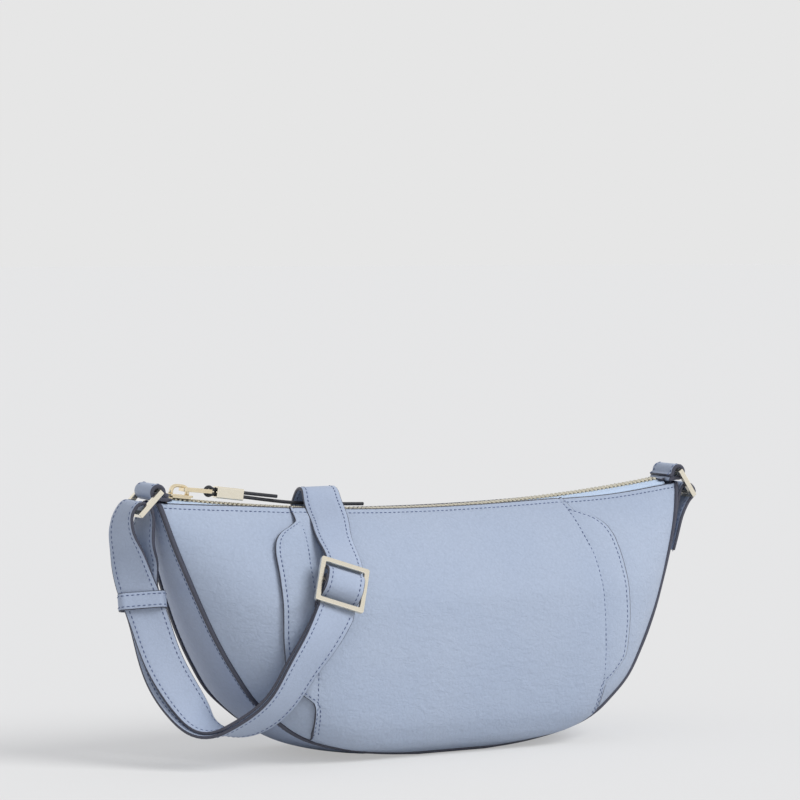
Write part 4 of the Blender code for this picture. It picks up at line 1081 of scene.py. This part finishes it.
# Through the buckle: up along the frame and out of it, in shares of the way from pin to bar
passageShares = ((1.38, -0.287), (1, -0.287), (0.815, -0.241), (0.667, -0.046), (0.537, 0.204),
                 (0.324, 0.407), (0, 0.454))
returnShares = ((-1.15, -0.713), (-1, -0.713), (-0.833, -0.704), (-0.556, -0.667),
                (-0.296, -0.481))
flapShares = ((-0.426, -0.185), (-0.611, -0.398), (-0.833, -0.491), (-1, -0.5))
layerStep = strapSizes["thick"] + strapSizes["gap"]
frontReach = baseHalf + bag["frontBulge"]
backReach = baseHalf + bag["backBulge"]


def strapStation(row):
    across, deep, high, *side = row
    reach = backReach if deep > 0 else frontReach
    return Vector((across * halfWidthTotal, deep * reach, high * cornerHeight)), Vector(side)


def buckleAxes():
    x = buckleXShare * halfWidthTotal
    outward = skinNormal(-1, x, buckleRise)
    side = Vector((0.93, -0.23, -0.29))
    side = (side - outward * side.dot(outward)).normalized()
    return side, outward.cross(side), outward


buckleSide, buckleUp, buckleOut = buckleAxes()
low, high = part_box("buckle")
buckleCentre = (low + high) / 2
pinWrap = buckle["pin"] + strapSizes["slack"] + strapSizes["thick"] / 2
behindBar = buckle["deep"] / 2 + buckle["slack"] + strapSizes["thick"] / 2
barPlace = (buckle["high"] - buckle["bar"]) / 2


def byBuckle(up, out):
    return buckleCentre + buckleUp * up + buckleOut * out


def byBars(shares):
    return [byBuckle(up * barPlace, out * barPlace) for up, out in shares]


def ringBar(side, angle):
    return Vector((side * (rollX + ring["reach"] * math.cos(math.radians(angle))), 0,
                   rollZ - ring["reach"] * math.sin(math.radians(angle))))


def squareTo(route, sides):
    # turns each width direction square to the route
    return [(side - along * side.dot(along)).normalized()
            for along, side in zip(tangents(route), sides)]


def spread(values, stations, route):
    # carries each station's value along the route, with an even change from one to the next
    marks = []
    start = 0
    for station in stations:
        start = min(range(start, len(route)), key=lambda k: (route[k] - station).length)
        marks.append(start)
    out = []
    for k in range(len(route)):
        after = next((m for m in range(1, len(marks)) if k <= marks[m]), len(marks) - 1)
        span = max(1, marks[after] - marks[after - 1])
        part = (k - marks[after - 1]) / span
        part = part * part * (3 - 2 * part)
        out.append(values[after - 1] * (1 - part) + values[after] * part)
    return out


def softened(values, passes, holds=None):
    # evens out a line of points or directions, except where a hold says how much stays put
    for turn in range(passes):
        middle = [(a + b * 2 + c) / 4 for a, b, c in zip(values, values[1:], values[2:])]
        middle = [values[0]] + middle + [values[-1]]
        values = middle if holds is None else [a.lerp(b, h) for a, b, h in zip(middle, values, holds)]
    return values


def legLayers():
    # two layers side by side, which part a little where the strap hangs free
    stations = [strapStation(row) for row in legShares]
    places = [place for place, side in stations]
    places.append(byBuckle(-barPlace - strapSizes["overBar"], -behindBar - layerStep / 2))
    sides = [side for place, side in stations] + [buckleSide]
    route = softened(smoothRoute(places, 2.2 * mm), 6)
    widths = squareTo(route, softened(spread(sides, places, route), 10))
    shares = [k / (len(route) - 1) for k in range(len(route))]
    faces = []
    slips = []
    for along, across, share in zip(tangents(route), widths, shares):
        parting = bump(share, strapSizes["partingAt"], strapSizes["partingWide"])
        faces.append(along.cross(across) * (layerStep / 2 + strapSizes["parting"] * parting))
        slip = bump(share, strapSizes["slipAt"], strapSizes["slipWide"])
        slips.append(across * strapSizes["slip"] * slip)
    front = [p + f for p, f in zip(route, faces)]
    behind = [p - f - slip for p, f, slip in zip(route, faces, slips)]
    return front, behind, widths


def overRing(side, angle, spots):
    # round the ring's lower bar, the spots in shares of the strap's distance from it
    bar = ringBar(side, angle)
    wrap = ring["bar"] + strapSizes["slack"] + strapSizes["thick"] / 2
    return [(bar + Vector((a * wrap, 0, b * wrap)), Vector((0, side, 0))) for a, b in spots]


def leftLoop():
    over = overRing(-1, ring["left"], ((-1.7, 0), (0, 2.05), (1.9, 1.7), (3.25, -0.1)))
    return ([strapStation(row) for row in leftOuterShares] + over
            + [strapStation(row) for row in leftInnerShares])


def rightLoop():
    over = overRing(1, ring["right"],
                    ((-0.5, -1.8), (1.1, 0), (0.55, 1.6), (-1.0, 2.35), (-2.6, 1.5)))
    return [strapStation(row) for row in rightEndShares] + over


def crestStations():
    # over the mouth, high enough for the zip pull, and down the front to the buckle
    x = crestXShare * halfWidthTotal
    top = cornerHeight + strapSizes["crest"] + strapSizes["thick"] / 2
    width = Vector((1, 0, 0))
    rows = [(Vector((x, mouthHalf / 2, top)), width), (Vector((x, -2.5 * mm, top - 0.2 * mm)), width)]
    out = 0.3 * mm + strapSizes["thick"] / 2
    rows.append((onSkin(-1, x * 1.03, 1, out) + Vector((0, 0, 2.6 * mm)), Vector((0.97, -0.18, 0.14))))
    out += strapSizes["overFront"]
    for share, rise, side in ((1.045, 0.965, (0.96, -0.24, 0.14)), (1.07, 0.92, (0.98, -0.2, 0.02)),
                              (1.105, 0.87, (1, -0.1, -0.1))):
        rows.append((onSkin(-1, x * share, rise, out + raiseAt(x, rise)), Vector(side)))
    return rows


outside, inside, legSides = legLayers()
passage = list(passageShares) + [(-up, out) for up, out in passageShares[-2:0:-1]]
returning = byBars(returnShares)
for k in range(13):
    turn = math.radians(190 - 270 * k / 12)
    returning.append(byBuckle(pinWrap * math.sin(turn), pinWrap * math.cos(turn)))
returning += byBars(flapShares)
stations = rightLoop() + [strapStation(row) for row in rightMainShares] + crestStations()
stations += [(place, buckleSide) for place in byBars(passage)]
stations += list(zip(inside, legSides))[::-1] + leftLoop()[::-1] + list(zip(outside, legSides))
stations += [(place, buckleSide) for place in returning]
places = [place for place, side in stations]
strapRoute = smoothRoute(places, 1.6 * mm)
ringBars = [ringBar(-1, ring["left"]), ringBar(1, ring["right"])]
# near the metal the route keeps to its stations
tight = [(buckleCentre, 15 * mm)] + [(bar, 7 * mm) for bar in ringBars]
holds = [1 if any((p - spot).length < near for spot, near in tight) else 0 for p in strapRoute]
strapSides = spread([side.normalized() for place, side in stations], places, strapRoute)
strapRoute = softened(strapRoute, 8, holds)
strapSides = squareTo(strapRoute, softened(strapSides, 12))
section, marks = ribbonSection(strapSizes["wide"], strapSizes["thick"])
strap = sweep("strap", strapRoute, strapSides, section, [strapLeather, edgePaint], marks)
fixNormals(strap)
finish(strap, "bag", "blue_leather", "strap")

ups = outwards(strapRoute, strapSides)
clear = {"alongFrame": 2.4 * mm, "outOfFrame": 5 * mm, "ring": 4.4 * mm}


def clearOfBars(row):
    # no stitches are drawn where the bars of the buckle and the rings press on the strap
    runs = [[]]
    for point in row:
        place = point - buckleCentre
        pressed = (abs(abs(place.dot(buckleUp)) - barPlace) < clear["alongFrame"]
                   and abs(place.dot(buckleOut)) < clear["outOfFrame"])
        pressed = pressed or any(math.hypot(point.x - bar.x, point.z - bar.z) < clear["ring"]
                                 for bar in ringBars)
        if not pressed:
            runs[-1].append(point)
        elif runs[-1]:
            runs.append([])
    return [run for run in runs if len(run) > 2]


strapRows = []
for face in (-1, 1):
    for edge in (-1, 1):
        across = edge * (strapSizes["wide"] / 2 - sewing["strapInset"])
        up = face * (strapSizes["thick"] / 2 + threadProud["strap"])
        strapRows += clearOfBars([p + s * across + u * up
                                  for p, s, u in zip(strapRoute, strapSides, ups)])
addStitches("strapStitches", "bag", strapRows)
strapLength = sum((b - a).length for a, b in zip(strapRoute, strapRoute[1:]))
print("strap made, length in mm:", round(strapLength / mm))

# Keeper, a leather loop round both layers of the strap below the left ring
keeper = {"high": 8.8 * mm, "wall": 1.4 * mm, "slack": 0.8 * mm, "drop": 6.2 * mm,
          "corner": 3.2 * mm, "lean": -17, "tip": -10}
middle = [(a + b) / 2 for a, b in zip(outside, inside)]
distance = 0
spot = 0
while distance < keeper["drop"]:
    distance += (middle[spot + 1] - middle[spot]).length
    spot += 1
low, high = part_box("strap_keeper")
along = tangents(middle)[spot]
side = legSides[spot]
side = (side - along * side.dot(along)).normalized()
keeperFrame = Matrix((side, along.cross(side), along)).transposed().to_4x4()
keeperFrame.translation = (low + high) / 2
keeperFrame = (keeperFrame @ Matrix.Rotation(math.radians(keeper["lean"]), 4, "Y")
               @ Matrix.Rotation(math.radians(keeper["tip"]), 4, "X"))
wide = strapSizes["wide"] + 2 * keeper["slack"] + keeper["wall"]
deep = strapSizes["thick"] + layerStep + 2 * keeper["slack"] + keeper["wall"]
loopLine = roundedOutline(wide, deep, keeper["corner"], 8)
route = [keeperFrame @ Vector((x, y, 0)) for x, y in loopLine]
route = evenRoute(route + [route[0]], 0.7 * mm)[:-1]
section, marks = ribbonSection(keeper["high"], keeper["wall"], 0.5)
keeperSides = [keeperFrame.to_3x3() @ Vector((0, 0, 1))] * len(route)
keeperPiece = sweep("strapKeeper", route, keeperSides, section, [strapLeather, edgePaint], marks,
                    closed=True)
fixNormals(keeperPiece)
finish(keeperPiece, "keeper", "blue_leather", "strap_keeper")
keeperRows = []
for edge in (-1, 1):
    aside = edge * (keeper["high"] / 2 - sewing["keeperInset"])
    row = []
    for p, s, out in zip(route, keeperSides, outwards(route, keeperSides, True)):
        if out.dot(p - keeperFrame.translation) < 0:
            out = -out
        row.append(p + out * (keeper["wall"] / 2 + threadProud["strap"]) + s * aside)
    keeperRows.append(row + [row[0]])
addStitches("keeperStitches", "keeper", keeperRows)

# Buckle, a flat frame with a middle pin
buckleFrame = Matrix((buckleSide, buckleUp, buckleOut)).transposed().to_4x4()
buckleFrame.translation = buckleCentre
buckleOutlines = frameOutlines(buckle["wide"], buckle["high"], buckle["bar"],
                               (buckle["corner"], buckle["corner"] / 2))
pinReach = buckleSide * (buckle["wide"] - buckle["bar"]) / 2
parts = [plateObject("buckleFrame", buckleOutlines, buckle["plate"], buckle["bevel"], buckleFrame,
                     paleGold),
         tubeObject("bucklePin", [buckleCentre - pinReach, buckleCentre + pinReach], buckle["pin"],
                    paleGold)]
finish(joined("buckle", parts), "buckle", "pale_gold", "buckle")
print("keeper and buckle made")

# CAD nodes that stay, inside the bag, take their real finish
for node, material in (("lining", liningCloth), ("front_stiffener", boardStock),
                       ("back_stiffener", boardStock)):
    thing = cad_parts[node]
    thing.data.materials.clear()
    thing.data.materials.append(material)

# Floor, light and camera
studio = {"backdrop": "#e6e6e6", "paper": "#e1e1e0", "floorSize": 30, "floorLit": 0.5,
          "fill": 0.56, "fillColour": (0.975, 0.985, 1.04, 1), "gloss": 0.9,
          "glossBright": (1.3, 1.3, 1.3, 1), "glossDim": (0.86, 0.86, 0.87, 1),
          "keyStrength": 2.35, "keyAngle": 32, "keyAim": (-0.42, 0.62, -0.66)}
floorMesh = bpy.data.meshes.new("floor")
s = studio["floorSize"]
floorMesh.from_pydata([(-s, -s, 0), (s, -s, 0), (s, s, 0), (-s, s, 0)], [], [(0, 1, 2, 3)])
floor = addObject("floor", floorMesh)
floorMaterial, tree, shader = startMaterial("studio paper, pale grey", Roughness=0.9,
                                            Base_Color=hexColour(studio["paper"]),
                                            Specular_IOR_Level=0)
glow = addNode(tree, "ShaderNodeEmission", Color=hexColour(studio["backdrop"]), Strength=1.0)
seenOnly = addNode(tree, "ShaderNodeMath", {"operation": "MULTIPLY"}, in1=studio["floorLit"],
                   in0=addNode(tree, "ShaderNodeLightPath").outputs["Is Camera Ray"])
paper = addNode(tree, "ShaderNodeMixShader", in0=seenOnly.outputs[0], in1=shader.outputs[0],
                in2=glow.outputs[0])
tree.links.new(paper.outputs[0], tree.nodes["Material Output"].inputs["Surface"])
floorMesh.materials.append(floorMaterial)

world = bpy.data.worlds.new("studio")
bpy.context.scene.world = world
world.use_nodes = True
tree = world.node_tree
tree.nodes.clear()
rays = addNode(tree, "ShaderNodeLightPath").outputs
seen = addNode(tree, "ShaderNodeMath", {"operation": "MAXIMUM"}, in0=rays["Is Camera Ray"],
               in1=rays["Is Transmission Ray"])
# metal shows a soft box: brighter on one side, dimmer on the other
turned = addNode(tree, "ShaderNodeMapping", Rotation=(0, math.pi / 2, 0), Location=(0.35, 0, 0),
                 Vector=addNode(tree, "ShaderNodeTexCoord").outputs["Generated"])
softBox = addNode(tree, "ShaderNodeTexGradient", Vector=turned.outputs[0])
ramp = addNode(tree, "ShaderNodeMix", {"data_type": "RGBA"}, Factor=softBox.outputs["Fac"],
               A=studio["glossBright"], B=studio["glossDim"])
plainLight = addNode(tree, "ShaderNodeBackground", Color=studio["fillColour"],
                     Strength=studio["fill"])
glossLight = addNode(tree, "ShaderNodeBackground", Color=ramp.outputs[2], Strength=studio["gloss"])
backdrop = addNode(tree, "ShaderNodeBackground", Color=hexColour(studio["backdrop"]), Strength=1.0)
lit = addNode(tree, "ShaderNodeMixShader", in0=rays["Is Glossy Ray"], in1=plainLight.outputs[0],
              in2=glossLight.outputs[0])
shown = addNode(tree, "ShaderNodeMixShader", in0=seen.outputs[0], in1=lit.outputs[0],
                in2=backdrop.outputs[0])
tree.links.new(shown.outputs[0], addNode(tree, "ShaderNodeOutputWorld").inputs["Surface"])

key = bpy.data.lights.new("keyLight", "SUN")
key.energy = studio["keyStrength"]
key.angle = math.radians(studio["keyAngle"])
keyLight = addObject("keyLight", key)
keyLight.rotation_euler = Vector(studio["keyAim"]).to_track_quat("-Z", "Y").to_euler()
keyLight.visible_glossy = False

view = {"lens": 148.97, "place": (-0.8474, -1.5103, 0.2641), "aim": (0.4833, 0.8741, -0.0478)}
camera = bpy.data.cameras.new("photoCamera")
camera.lens = view["lens"]
camera.sensor_width = 36
camera.clip_end = 100
cameraObject = addObject("photoCamera", camera)
cameraObject.location = view["place"]
cameraObject.rotation_euler = Vector(view["aim"]).to_track_quat("-Z", "Y").to_euler()
bpy.context.scene.camera = cameraObject
bpy.context.scene.view_settings.view_transform = "Standard"

print("done")
